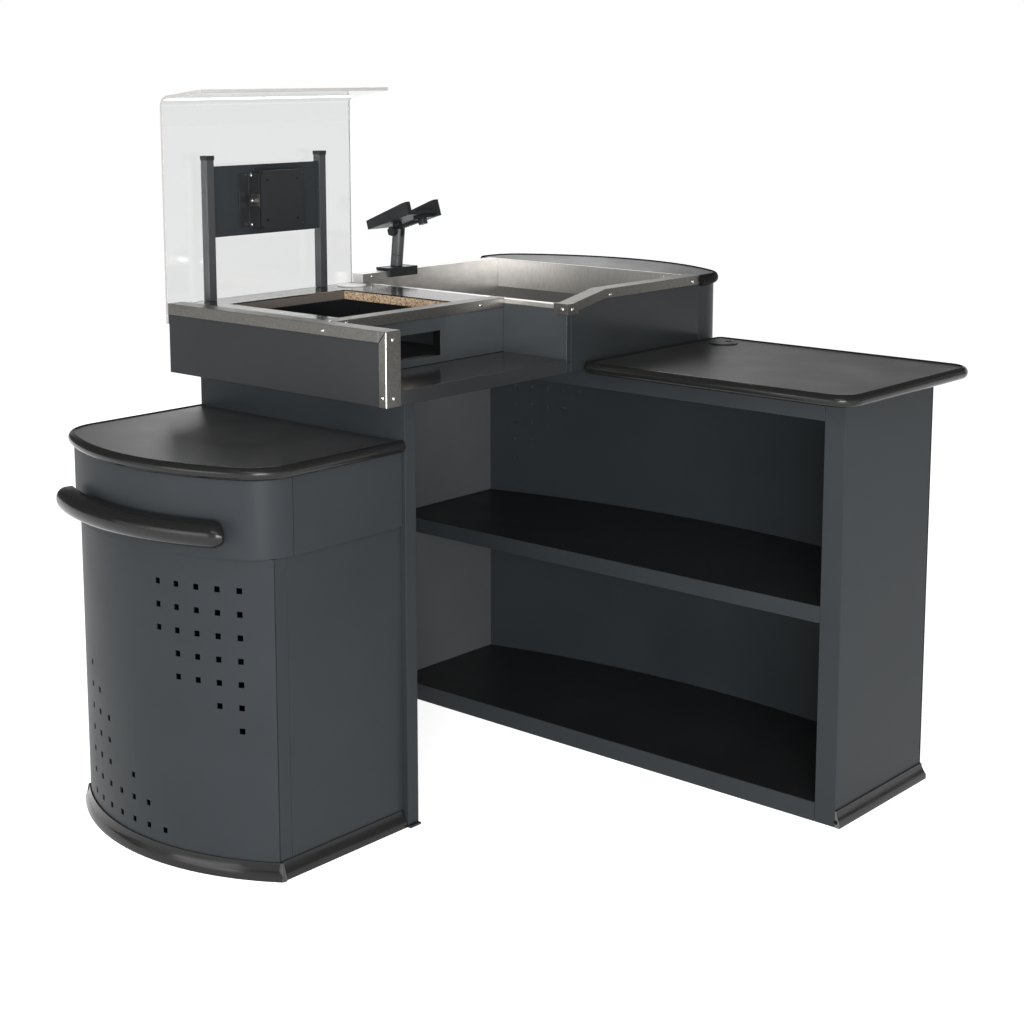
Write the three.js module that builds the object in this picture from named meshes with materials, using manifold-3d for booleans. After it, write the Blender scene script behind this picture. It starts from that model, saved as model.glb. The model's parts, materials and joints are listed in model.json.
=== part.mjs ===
// Shop checkout counter: a rounded bagging end, a pedestal, a top module with a cut-out worktop, a
// keyboard ledge and a steel goods tray, a bowed far end, a shelf unit with a side board, an acrylic
// screen, a monitor stand and a payment terminal holder. Millimetres, +Z up, floor at z = 0.
// Layout before centring: the pedestal's outer face is y = 0 and its cashier-side edge is x = 0. The
// customer side looks to -X, the cashier side to +X, the bagging end to -Y, the bowed far end to +Y.
import * as THREE from "three";
import { mergeVertices } from "three/addons/utils/BufferGeometryUtils.js";
import Module from "manifold-3d";

const wasm = await Module();
wasm.setup();

// General stock sizes
const FIT = 0.3; // gap between pieces that touch
const SHEET = 2; // steel sheet
const BOARD = 19; // laminated board, with a half-round edging of the same height
const FOLD = 15; // depth of the folded edges of sheet panels
const SEAM = 1; // open seam between neighbouring panels
const GROOVE = 1; // depth of a seam in a sheet

// Pedestal and customer wall
const PEDESTAL_WIDTH = 530;
const PEDESTAL_PANEL = 26;
const PEDESTAL_HEIGHT = 755;
const FOOT_PROUD = 6; // base plate past the pedestal's cashier edge
const WALL = 25;
const WALL_PAST = 3; // customer wall past the shelf's back corner

// Bagging end
const BAND_SIDE = 251; // straight part of the band's sides
const BOW_RADIUS = 454; // bowed fronts of the band and of the far end
const BOW_CORNER = 80;
const BAND_INSET = 7; // band sides inside the pedestal's width
const BODY_INSET = 5; // lower body sides inside the band
const BODY_SETBACK = 10; // lower front behind the band
const BAND_DROP = 89; // band's top under the pedestal's top
const BAND_HEIGHT = 129;
const BASE_PLATE = 4;
const UPRIGHT = 27; // corner strip beside the front, up to its seam
const DECK = 16;

// Square perforation
const HOLE = 10;
const PITCH = 39;
const HOLE_MARGIN = 54; // outer rows from the floor and from the band
const HOLE_FIRST_ARC = 55; // arc length from the middle of the front to the shared column
const RIGHT_FIELD = [3, 5, 5, 6, 7]; // holes per column, hanging from the top row
const LEFT_FIELD = [1, 2, 3, 2, 5, 6, 7]; // holes per column, standing on the bottom row
const BACK_FIELD = [5, 4, 3, 2, 1]; // holes per row of the shelf back
const BACK_FIELD_DROP = 126; // first row of the shelf back under the side board
const BACK_FIELD_START = 62; // first column from the customer wall

// Bumper and plinth mouldings
const BUMPER_HEIGHT = 43;
const BUMPER_DEPTH = 28;
const BUMPER_STANDOFF = 12; // bar before the band, on round blocks
const BUMPER_RISE = 22; // bar above the band's lower edge
const BUMPER_BLOCK = 24;
const BUMPER_BLOCK_ANGLE = 15;
const BUMPER_HALF_ANGLE = 23.5;
const PLINTH_HEIGHT = 30;
const PLINTH_FLARE = 10;

// Shelf unit
const SHELF_RIGHT = 560; // outer face of the right end panel
const SHELF_FRONT = 486;
const SHELF_DEPTH = 297;
const END_PANEL = 41;
const BACK_SAG = 72; // how far the curved back bulges
const SHELF_BOARD = 18;
const SHELF_RAIL_DEPTH = 40;
const MID_SHELF_TOP = 390;
const MID_RAIL_HEIGHT = 30;
const BOTTOM_SHELF_TOP = 35;
const TOP_RAIL_HEIGHT = 35;
const BEARER_SETBACK = 60;

// Side board
const SIDE_BOARD_RISE = 14; // its top above the module's underside
const SIDE_BOARD_RIGHT = 597;
const SIDE_BOARD_FRONT = 434;
const SIDE_BOARD_BACK = 879;
const SIDE_BOARD_CORNER = 45;
const SIDE_BOARD_INNER_CORNER = 20; // corners at the module
const SIDE_GROMMET_X = 86;
const SIDE_GROMMET_Y = 811;
const SIDE_GROMMET_DIAMETER = 58;

// Top module
const MODULE_PROUD = 27; // cashier face past the pedestal
const MODULE_HEIGHT = 125;
const MODULE_PANEL = 18;
const SIDE_OVERHANG = 70;
const SIDE_PANEL = 33;
const RECESS_DEPTH = 153;
const LEDGE = 25;
const FLOOR = 18;
const TOP_BOARD = 16;
const SKIN = 2;
const CUT_INSET = 78; // cut-out from the customer face
const CUT_MARGIN = 39; // cut-out from the recess
const CUT_Y0 = 8;
const CUT_Y1 = 298;
const RECESS_HOLE_Y0 = 63;
const RECESS_HOLE_Y1 = 223;
const RECESS_HOLE_RISE = 14; // hole above the ledge
const RECESS_HOLE_HEIGHT = 45;
const TOP_GROMMET_INSET = 43; // from the customer face
const TOP_GROMMET_Y = 352;
const TOP_GROMMET_DIAMETER = 57;

// Stainless trims
const TRIM = 1.7;
const TRIM_LEG = 30;
const TRIM_DROP = 15.5; // front and rim angles below the edge they cover
const SIDE_TRIM_DROP = 18;

// Goods tray and far end
const TRAY_START = 396;
const TRAY_WALL = 12;
const TRAY_END = 810;
const RIM_RISE = 18; // rim above the worktop
const RIM_WIDTH = 30; // customer side
const FAR_RIM = 6;
const NEAR_LIP = 1.2; // tray edge folded down over the near wall
const NEAR_LIP_DROP = 8;
const RAMP_START = 412;
const RAMP_END = 506;
const TRAY_FLOOR_RISE = 40; // tray floor above the module's underside
const TRAY_LIP = 60; // straight part of the far wall above the slope
const TRAY_SLOPE = 36;
const FAR_STRAIGHT = 24; // straight sides of the far end before its bow
const FAR_OVERHANG = 18; // far top past the customer face
const CLIP_WIDTH = 30;
const CLIP_DROP = 18;

// Acrylic screen
const ACRYLIC = 6;
const SCREEN_SPACER = 7;
const SCREEN_Y0 = -66;
const SCREEN_Y1 = 402;
const SCREEN_OVERLAP = 37; // lower edge under the worktop
const SCREEN_RISE = 377; // bend above the worktop
const SCREEN_BEND_RADIUS = 14;
const SCREEN_LIP = 97;
const SCREEN_LIP_RISE = 7; // degrees

// Monitor stand
const POST = 17;
const POST_WALL = 1.5;
const POST_INSET = 13; // post middle from the customer face
const POST_Y = [18, 298.5];
const POST_DROP = 115; // post tops under the screen's bend
const CROSS_DROP = 15; // cross plate under the post tops
const CROSS_HEIGHT = 131;
const BRACKET_Y = 113;
const BRACKET_REACH = 34;
const BRACKET_HEIGHT = 100;
const BRACKET_FOOT = 24;
const VESA_WIDTH = 106;
const VESA_HEIGHT = 110;
const VESA_PATTERNS = [75, 100];
const VESA_HOLE = 5;
const PIVOT_DIAMETER = 8;
const PIVOT_SETBACK = 13; // pivot axis behind the mounting face
const EAR = 30;

// Payment terminal holder
const HOLDER_INSET = 10; // stem's foot from the customer face
const HOLDER_Y = 512;
const HOLDER_LEAN = 6; // degrees towards the cashier
const SADDLE = 6;
const SADDLE_WIDTH = 80;
const SADDLE_OUT = 4; // past the customer face
const SADDLE_BACK = 45; // saddle edge before the stem, along Y
const SADDLE_DROP = 12;
const STEM_DIAMETER = 25;
const STEM_FOOT = 24;
const STEM_LENGTH = 73; // saddle to tilt axis
const FORK_RISE = 5; // stem's fork above the tilt axis
const HEAD_TILT = 17.5; // degrees
const HEAD_LENGTH = 121;
const HEAD_SHIFT = 21.5; // head centre past the stem, up the slope
const HEAD_PLATE = 6;
const JAW_GAP = 70;
const JAW = 12;
const JAW_HEIGHT = 21;
const JAW_IN = 6; // slide travel of the jaw
const JAW_OUT = 10;
const CLAMP_X = 61;
const CLAMP_Y = 11;
const TONGUE = 10;
const TONGUE_RADIUS = 9;
const PIVOT_DROP = 15; // tilt axis below the head plate
const KNOB_DIAMETER = 19;
const KNOB_HEIGHT = 11;

// Places that follow from the sizes above
const customerX = -PEDESTAL_WIDTH;
const cashierX = MODULE_PROUD;
const deckZ = PEDESTAL_HEIGHT + MODULE_HEIGHT;
const rimZ = deckZ + RIM_RISE;
const shelfZ = PEDESTAL_HEIGHT + SIDE_BOARD_RISE - BOARD; // underside of the side board
const bandTop = PEDESTAL_HEIGHT - BAND_DROP;
const bandLow = bandTop - BAND_HEIGHT;
const ledgeZ = PEDESTAL_HEIGHT + LEDGE;
const trayZ = PEDESTAL_HEIGHT + TRAY_FLOOR_RISE;
const screenTop = deckZ + SCREEN_RISE;
const screenLow = deckZ - SCREEN_OVERLAP;
const postTop = screenTop - POST_DROP;
const edge = BOARD / 2;
const bagX = -PEDESTAL_WIDTH / 2;
const bandHalf = PEDESTAL_WIDTH / 2 - BAND_INSET;
const bodyHalf = bandHalf - BODY_INSET;
const recessX = cashierX - RECESS_DEPTH;
const cutX = [customerX + CUT_INSET, recessX - CUT_MARGIN];
const topGrommetX = customerX + TOP_GROMMET_INSET;
const postX = customerX + POST_INSET;
const holderX = customerX + HOLDER_INSET;
const sideInner = SIDE_PANEL - SIDE_OVERHANG;
const trayY = TRAY_START + TRAY_WALL;
const shelfBackY = SHELF_FRONT + SHELF_DEPTH;
const wallX = customerX + WALL;
const wallEnd = shelfBackY + WALL_PAST;

const plain = (color, roughness, metalness) =>
  new THREE.MeshStandardMaterial({ color, roughness, metalness });
const steelGrey = plain(0x3a3f43, 0.45, 0.3);
const laminateBrown = plain(0x393a3b, 0.5, 0);
const laminateBlack = plain(0x1d1d1f, 0.55, 0);
const rubberBlack = plain(0x151515, 0.4, 0);
const stainless = plain(0xb9b9b6, 0.3, 1);
const chipboard = plain(0xb58a5c, 0.9, 0);
const acrylic = plain(0xe8ecee, 0.05, 0);
const plasticBlack = plain(0x1a1b1c, 0.4, 0);
const plasticWhite = plain(0xe4e4e0, 0.4, 0);
const steelBlack = plain(0x1b1c1e, 0.4, 0.2);

const desk = new THREE.Group();

// Adds a sub-part to the desk, or to a nested group
function part(name, geometry, material, parent = desk) {
  const mesh = new THREE.Mesh(geometry, material);
  mesh.name = name;
  parent.add(mesh);
  return mesh;
}

// Geometry as a solid for cutting and joining
function solid(geometry) {
  const bare = geometry.clone();
  bare.deleteAttribute("normal");
  bare.deleteAttribute("uv");
  const merged = mergeVertices(bare, 1e-4);
  return new wasm.Manifold(
    new wasm.Mesh({
      numProp: 3,
      vertProperties: new Float32Array(merged.attributes.position.array),
      triVerts: new Uint32Array(merged.index.array),
    }),
  );
}

// Solid back to geometry
function geometryOf(made) {
  const mesh = made.getMesh();
  const geometry = new THREE.BufferGeometry();
  geometry.setAttribute("position", new THREE.BufferAttribute(mesh.vertProperties, 3));
  geometry.setIndex(new THREE.BufferAttribute(mesh.triVerts, 1));
  return geometry;
}

function cut(base, tools) {
  const made = tools.reduce((left, tool) => left.subtract(solid(tool)), solid(base));
  return geometryOf(made);
}

function join(pieces) {
  const made = pieces.slice(1).reduce((whole, piece) => whole.add(solid(piece)), solid(pieces[0]));
  return geometryOf(made);
}

function box(x0, x1, y0, y1, z0, z1) {
  const geometry = new THREE.BoxGeometry(x1 - x0, y1 - y0, z1 - z0);
  return geometry.translate((x0 + x1) / 2, (y0 + y1) / 2, (z0 + z1) / 2);
}

function shapeOf(points) {
  return new THREE.Shape(points.map(([x, y]) => new THREE.Vector2(x, y)));
}

// Upright prism over an outline in x and y
function prism(points, z0, z1) {
  const geometry = new THREE.ExtrudeGeometry(shapeOf(points), { depth: z1 - z0, bevelEnabled: false });
  return geometry.translate(0, 0, z0);
}

// Prism along X over an outline in y and z
function prismX(points, x0, x1) {
  const geometry = new THREE.ExtrudeGeometry(shapeOf(points), { depth: x1 - x0, bevelEnabled: false });
  geometry.rotateX(Math.PI / 2);
  geometry.rotateZ(Math.PI / 2);
  return geometry.translate(x0, 0, 0);
}

// Prism along Y over an outline in x and z
function prismY(points, y0, y1) {
  const geometry = new THREE.ExtrudeGeometry(shapeOf(points), { depth: y1 - y0, bevelEnabled: false });
  geometry.rotateX(Math.PI / 2);
  return geometry.translate(0, y1, 0);
}

// Upright disc or ring blank
function disc(x, y, z0, z1, diameter, sides = 32) {
  const geometry = new THREE.CylinderGeometry(diameter / 2, diameter / 2, z1 - z0, sides);
  geometry.rotateX(Math.PI / 2);
  return geometry.translate(x, y, (z0 + z1) / 2);
}

// Round bar along Y
function barY(x, z, y0, y1, diameter, sides = 24) {
  const geometry = new THREE.CylinderGeometry(diameter / 2, diameter / 2, y1 - y0, sides);
  return geometry.translate(x, (y0 + y1) / 2, z);
}

function arc(x, y, radius, from, to, steps) {
  const points = [];
  for (let i = 0; i <= steps; i++) {
    const a = from + ((to - from) * i) / steps;
    points.push([x + radius * Math.cos(a), y + radius * Math.sin(a)]);
  }
  return points;
}

const shift = (points, x, y) => points.map(([u, v]) => [u + x, v + y]);
const mirrorY = (points) => points.map(([u, v]) => [u, -v]).reverse();

// Bowed outline, clockwise, from the end of one straight side (y = 0) round the front to the other side
function bow(half, radius, corner) {
  const cornerX = half - corner;
  const rise = Math.sqrt((radius - corner) ** 2 - cornerX ** 2);
  const turn = Math.atan2(-rise, cornerX);
  return [
    ...arc(cornerX, 0, corner, 0, turn, 10),
    ...arc(0, rise, radius, turn, -Math.PI - turn, 28).slice(1, -1),
    ...arc(-cornerX, 0, corner, -Math.PI - turn, -Math.PI, 10),
  ];
}

// Outward direction at each point of a clockwise outline, stretched at corners to keep offsets parallel
function outward(path, closed) {
  const count = path.length;
  const leg = (i) => {
    const a = path[(i + count) % count];
    const b = path[(i + 1 + count) % count];
    const length = Math.hypot(b[0] - a[0], b[1] - a[1]);
    return [-(b[1] - a[1]) / length, (b[0] - a[0]) / length];
  };
  return path.map((point, i) => {
    const before = closed || i > 0 ? leg(i - 1) : leg(i);
    const after = closed || i < count - 1 ? leg(i) : leg(i - 1);
    const stretch = 1 + before[0] * after[0] + before[1] * after[1];
    return [(before[0] + after[0]) / stretch, (before[1] + after[1]) / stretch];
  });
}

function offset(path, distance, closed = false) {
  const normals = outward(path, closed);
  return path.map(([x, y], i) => [x + normals[i][0] * distance, y + normals[i][1] * distance]);
}

// Strip of sheet behind an open clockwise outline
function sheetAlong(path, thickness, z0, z1) {
  return prism([...path, ...offset(path, -thickness).reverse()], z0, z1);
}

// Sweeps a closed profile of [out, z] points along a clockwise outline; sizeAt shrinks it about its middle
function sweep(path, profile, closed, sizeAt = () => 1) {
  const normals = outward(path, closed);
  const middle = [0, 1].map((k) => profile.reduce((sum, p) => sum + p[k], 0) / profile.length);
  const rings = path.length;
  const sides = profile.length;
  const vertices = [];
  path.forEach(([x, y], i) => {
    const size = sizeAt(i);
    for (const [out, z] of profile) {
      const o = middle[0] + (out - middle[0]) * size;
      vertices.push(x + normals[i][0] * o, y + normals[i][1] * o, middle[1] + (z - middle[1]) * size);
    }
  });
  const faces = [];
  for (let i = 0; i < (closed ? rings : rings - 1); i++) {
    for (let k = 0; k < sides; k++) {
      const a = i * sides + k;
      const b = i * sides + ((k + 1) % sides);
      const c = ((i + 1) % rings) * sides + ((k + 1) % sides);
      const d = ((i + 1) % rings) * sides + k;
      faces.push(a, c, b, a, d, c);
    }
  }
  if (!closed) {
    const flat = profile.map(([o, z]) => new THREE.Vector2(o, z));
    const last = (rings - 1) * sides;
    for (const [a, b, c] of THREE.ShapeUtils.triangulateShape(flat, [])) {
      faces.push(a, c, b, last + a, last + b, last + c);
    }
  }
  const geometry = new THREE.BufferGeometry();
  geometry.setAttribute("position", new THREE.BufferAttribute(new Float32Array(vertices), 3));
  geometry.setIndex(faces);
  return geometry;
}

// Half-round edging profile, standing on height z
function edging(z) {
  const points = [[FIT, z + BOARD]];
  for (let i = 1; i < 8; i++) {
    const a = Math.PI / 2 - (Math.PI * i) / 8;
    points.push([FIT + (edge - FIT) * Math.cos(a), z + edge + edge * Math.sin(a)]);
  }
  points.push([FIT, z]);
  return points;
}

// Plinth moulding profile: a foot that flares out from the panel above it
const plinthProfile = [
  [FIT, PLINTH_HEIGHT],
  [PLINTH_FLARE * 0.25, PLINTH_HEIGHT],
  [PLINTH_FLARE * 0.4, PLINTH_HEIGHT * 0.75],
  [PLINTH_FLARE * 0.68, PLINTH_HEIGHT * 0.5],
  [PLINTH_FLARE, PLINTH_HEIGHT * 0.28],
  [PLINTH_FLARE, 0],
  [FIT, 0],
];

// Sheet panel with folded edges: a shallow pan, open on the face at openAt along the axis
function pan(x0, x1, y0, y1, z0, z1, axis, openHigh) {
  const low = [x0, y0, z0];
  const high = [x1, y1, z1];
  const pocket = [0, 1, 2].map((k) => [low[k] + SHEET, high[k] - SHEET]);
  pocket[axis] = openHigh ? [low[axis] + SHEET, high[axis] + SEAM] : [low[axis] - SEAM, high[axis] - SHEET];
  return cut(box(x0, x1, y0, y1, z0, z1), [box(...pocket[0], ...pocket[1], ...pocket[2])]);
}

// Hollow sheet panel, open at its top and bottom
function sleeve(x0, x1, y0, y1, z0, z1) {
  const bore = box(x0 + SHEET, x1 - SHEET, y0 + SHEET, y1 - SHEET, z0 - SEAM, z1 + SEAM);
  return cut(box(x0, x1, y0, y1, z0, z1), [bore]);
}

// Square hole through an upright sheet at an angle round its axis
function squareHole(x, y, z, turn) {
  const geometry = new THREE.BoxGeometry(HOLE, HOLE * 2, HOLE);
  geometry.rotateZ(turn);
  return geometry.translate(x, y, z);
}

function makeBaggingEnd() {
  const bandPath = shift(bow(bandHalf, BOW_RADIUS, BOW_CORNER), bagX, -BAND_SIDE);
  const rise = Math.sqrt((BOW_RADIUS - BOW_CORNER) ** 2 - (bandHalf - BOW_CORNER) ** 2);
  const centreY = rise - BAND_SIDE;
  const radius = BOW_RADIUS - BODY_SETBACK;
  const reach = Math.asin(bodyHalf / radius);
  const front = arc(bagX, centreY, radius, reach - Math.PI / 2, -reach - Math.PI / 2, 30);
  const cornerY = front[0][1];
  const bodyPath = [[bagX + bodyHalf, -FIT], ...front, [bagX - bodyHalf, -FIT]];

  const underPedestal = [[FOOT_PROUD, -FIT], ...bodyPath, [customerX, -FIT]];
  underPedestal.push([customerX, PEDESTAL_PANEL], [FOOT_PROUD, PEDESTAL_PANEL]);
  part("base_plate", prism(underPedestal, 0, BASE_PLATE), steelBlack);
  const bodyLow = BASE_PLATE + FIT;
  const bodyHigh = bandLow - FIT;

  const holes = [];
  const addHole = (column, z) => {
    const turn = (HOLE_FIRST_ARC + column * PITCH) / radius;
    const x = bagX + radius * Math.sin(turn);
    const y = centreY - radius * Math.cos(turn);
    holes.push(squareHole(x, y, z, turn));
  };
  RIGHT_FIELD.forEach((count, column) => {
    for (let k = 0; k < count; k++) addHole(column, bandLow - HOLE_MARGIN - k * PITCH);
  });
  LEFT_FIELD.forEach((count, column) => {
    for (let k = 0; k < count; k++) addHole(-column, HOLE_MARGIN + k * PITCH);
  });
  part("bagging_front_sheet", cut(sheetAlong(front, SHEET, bodyLow, bodyHigh), holes), steelGrey);

  const grooves = [];
  for (const [side, sign] of [["right", 1], ["left", -1]]) {
    const outer = bagX + sign * bodyHalf;
    const inner = (depth) => outer - sign * depth;
    const span = (depth) => [Math.min(outer, inner(depth)), Math.max(outer, inner(depth))];
    const panelY = cornerY + SHEET + FIT;
    const seamY = cornerY + UPRIGHT;
    const sidePan = pan(...span(FOLD), panelY, -FIT, bodyLow, bodyHigh, 0, sign < 0);
    const seam = box(outer - GROOVE, outer + GROOVE, seamY, seamY + SEAM, bodyLow - SEAM, bodyHigh + SEAM);
    part(`bagging_side_${side}`, cut(sidePan, [seam]), steelGrey);
    const bandOuter = bagX + sign * bandHalf;
    const groove = [bandOuter - GROOVE, bandOuter + GROOVE];
    grooves.push(box(...groove, -BAND_SIDE, SEAM - BAND_SIDE, bandLow - SEAM, bandTop));
  }

  const topPath = [[bandPath[0][0], -FIT], ...bandPath, [bandPath.at(-1)[0], -FIT]];
  const band = sheetAlong(topPath, SHEET, bandLow, bandTop - FIT);
  part("bagging_band", cut(band, grooves), steelGrey);
  const deckPath = offset(topPath, -SHEET - FIT);
  part("bagging_deck", prism(deckPath, bandLow, bandLow + DECK), chipboard);

  part("bagging_top", prism(topPath, bandTop, bandTop + BOARD), laminateBlack);
  part("bagging_top_edge", sweep(topPath, edging(bandTop), false), rubberBlack);
  part("bagging_plinth", sweep(bodyPath, plinthProfile, false), rubberBlack);
  makeBumper(centreY);
}

// Bumper bar before the band: a D profile along the bow, with rounded ends and two round blocks behind it
function makeBumper(centreY) {
  const half = THREE.MathUtils.degToRad(BUMPER_HALF_ANGLE);
  const point = (angle) => [bagX + BOW_RADIUS * Math.sin(angle), centreY - BOW_RADIUS * Math.cos(angle)];
  const tip = BUMPER_HEIGHT / 2 / BOW_RADIUS;
  const taper = [0, 0.15, 0.4, 0.7];
  const angles = taper.map((t) => half + tip * (1 - t));
  const steps = 20;
  for (let i = 0; i <= steps; i++) angles.push(half - (2 * half * i) / steps);
  angles.push(...taper.map((t) => -half - tip * (1 - t)).reverse());
  const sizes = taper.map((t) => Math.max(0.3, Math.sqrt(1 - (1 - t) ** 2)));
  const sizeAt = (i) => sizes[Math.min(i, angles.length - 1 - i)] ?? 1;
  const middleZ = bandLow + BUMPER_RISE + BUMPER_HEIGHT / 2;
  const profile = [];
  const sides = 10;
  for (let i = 0; i <= sides; i++) {
    const a = Math.PI / 2 - (Math.PI * i) / sides;
    const out = BUMPER_DEPTH * Math.max(0, Math.cos(a)) ** 0.6;
    profile.push([BUMPER_STANDOFF + out, middleZ + (BUMPER_HEIGHT / 2) * Math.sin(a)]);
  }
  const bar = sweep(angles.map(point), profile, false, sizeAt);
  const blocks = [-1, 1].map((sign) => {
    const angle = sign * THREE.MathUtils.degToRad(BUMPER_BLOCK_ANGLE);
    const reach = BUMPER_STANDOFF + BUMPER_DEPTH / 2;
    const block = barY(0, middleZ, -BOW_RADIUS - reach, -BOW_RADIUS - FIT, BUMPER_BLOCK);
    return block.rotateZ(angle).translate(bagX, centreY, 0);
  });
  part("bumper_bar", join([bar, ...blocks]), rubberBlack);
}

function makePedestal() {
  const top = PEDESTAL_HEIGHT - FIT;
  const panel = pan(customerX, 0, 0, PEDESTAL_PANEL, BASE_PLATE + FIT, top, 1, true);
  part("pedestal_end_panel", panel, steelGrey);
  part("customer_wall", sleeve(customerX, wallX, PEDESTAL_PANEL + FIT, wallEnd, 0, top), steelGrey);
}

// Plan of the curved back: a flat arc from the customer wall to the right end panel
function backArc() {
  const half = (SHELF_RIGHT - wallX) / 2;
  const radius = (half ** 2 + BACK_SAG ** 2) / (2 * BACK_SAG);
  const middle = (SHELF_RIGHT + wallX) / 2;
  const centreY = shelfBackY + FIT + BACK_SAG - radius;
  const reach = Math.asin((half - SEAM) / radius);
  return { middle, radius, centreY, reach };
}

function makeShelfUnit() {
  const { middle, radius, centreY, reach } = backArc();
  const inner = arc(middle, centreY, radius, Math.PI / 2 + reach, Math.PI / 2 - reach, 24);
  const backPath = offset(inner, SHEET);
  const holes = [];
  BACK_FIELD.forEach((count, row) => {
    for (let column = 0; column < count; column++) {
      const turn = (BACK_FIELD_START + column * PITCH) / radius - reach;
      const x = middle + radius * Math.sin(turn);
      const y = centreY + radius * Math.cos(turn);
      holes.push(squareHole(x, y, shelfZ - BACK_FIELD_DROP - row * PITCH, -turn));
    }
  });
  const back = sheetAlong(backPath, SHEET, 0, shelfZ - FIT);
  part("shelf_back", cut(back, holes), steelGrey);
  const plinthPath = [
    [customerX, PEDESTAL_PANEL + FIT],
    [customerX, wallEnd],
    [wallX, wallEnd],
    ...backPath.slice(1, -1),
    [SHELF_RIGHT, backPath.at(-1)[1]],
    [SHELF_RIGHT, SHELF_FRONT],
  ];
  part("shelf_plinth", sweep(plinthPath, plinthProfile, false), rubberBlack);

  const endX = SHELF_RIGHT - END_PANEL;
  const endPanel = sleeve(endX, SHELF_RIGHT, SHELF_FRONT, shelfBackY, 0, shelfZ - FIT);
  part("shelf_end_panel", endPanel, steelGrey);

  const x0 = wallX + FIT;
  const x1 = endX - FIT;
  const boardBack = (x) => centreY + Math.sqrt((radius - SEAM) ** 2 - (x - middle) ** 2);
  const boardFront = SHELF_FRONT + SHEET + FIT;
  const outline = [[x0, boardFront], [x1, boardFront]];
  for (let i = 0; i <= 16; i++) {
    const x = x1 + ((x0 - x1) * i) / 16;
    outline.push([x, boardBack(x)]);
  }
  const rail = (bottom, top, seat) => [
    [SHELF_FRONT, bottom],
    [SHELF_FRONT + SHELF_RAIL_DEPTH, bottom],
    [SHELF_FRONT + SHELF_RAIL_DEPTH, seat],
    [SHELF_FRONT + SHEET, seat],
    [SHELF_FRONT + SHEET, top],
    [SHELF_FRONT, top],
  ];
  for (const [name, top, bottom] of [
    ["mid", MID_SHELF_TOP, MID_SHELF_TOP - MID_RAIL_HEIGHT],
    ["bottom", BOTTOM_SHELF_TOP, 0],
  ]) {
    const boardLow = top - SHELF_BOARD;
    part(`${name}_shelf_board`, prism(outline, boardLow, top), laminateBlack);
    part(`${name}_shelf_rail`, prismX(rail(bottom, top, boardLow - FIT), x0, x1), steelGrey);
  }
  const railLow = shelfZ - TOP_RAIL_HEIGHT;
  const topRail = rail(railLow, shelfZ - FIT, railLow + SHEET);
  part("shelf_top_rail", prismX(topRail, x0, x1), steelGrey);
  const bearerY = SHELF_FRONT + BEARER_SETBACK;
  const bearerTop = PEDESTAL_HEIGHT - FIT;
  const bearer = box(x0, cashierX - SHEET, bearerY, shelfBackY, bearerTop - BOARD, bearerTop);
  part("module_bearer", bearer, laminateBlack);
}

// Cable grommet: a flanged sleeve in a board, with a cap that turns in it
function makeGrommet(name, x, y, top, diameter, depth, material) {
  const lip = 2;
  const wall = 2.5;
  const bore = diameter - 4 * wall;
  const flange = disc(x, y, top + FIT, top + lip, diameter);
  const tube = disc(x, y, top - depth, top + lip, bore + 2 * wall - 2 * FIT);
  const way = disc(x, y, top - depth - SEAM, top + lip + SEAM, bore - 2 * wall);
  const ring = cut(join([flange, tube]), [way]);
  const seat = disc(x, y, top - lip, top + lip + SEAM, bore);
  part(`${name}_ring`, cut(ring, [seat]), material);
  const cap = disc(x, y, top - lip + FIT, top + lip, bore - 2 * FIT);
  const slotWidth = diameter / 4;
  const slotX = [x - slotWidth / 2, x + slotWidth / 2];
  const slot = box(...slotX, y + bore / 4, y + diameter, top - depth, top + depth);
  part(`${name}_cap`, cut(cap, [slot]), material);
  return disc(x, y, top - depth - diameter, top + diameter, bore + 2 * wall);
}

function makeSideBoard() {
  const x0 = cashierX + FIT + edge;
  const x1 = SIDE_BOARD_RIGHT - edge;
  const y0 = SIDE_BOARD_FRONT + edge;
  const y1 = SIDE_BOARD_BACK - edge;
  const r = SIDE_BOARD_CORNER - edge;
  const rIn = SIDE_BOARD_INNER_CORNER - edge;
  const quarter = Math.PI / 2;
  const outline = [
    ...arc(x1 - r, y1 - r, r, quarter, 0, 8),
    ...arc(x1 - r, y0 + r, r, 0, -quarter, 8),
    ...arc(x0 + rIn, y0 + rIn, rIn, -quarter, -2 * quarter, 6),
    ...arc(x0 + rIn, y1 - rIn, rIn, -2 * quarter, -3 * quarter, 6),
  ];
  const top = shelfZ + BOARD;
  const bore = makeGrommet(
    "side_grommet", SIDE_GROMMET_X, SIDE_GROMMET_Y, top, SIDE_GROMMET_DIAMETER, BOARD, plasticBlack,
  );
  part("side_board", cut(prism(outline, shelfZ, top), [bore]), laminateBlack);
  part("side_board_edge", sweep(outline, edging(shelfZ), true), rubberBlack);
}

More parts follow.
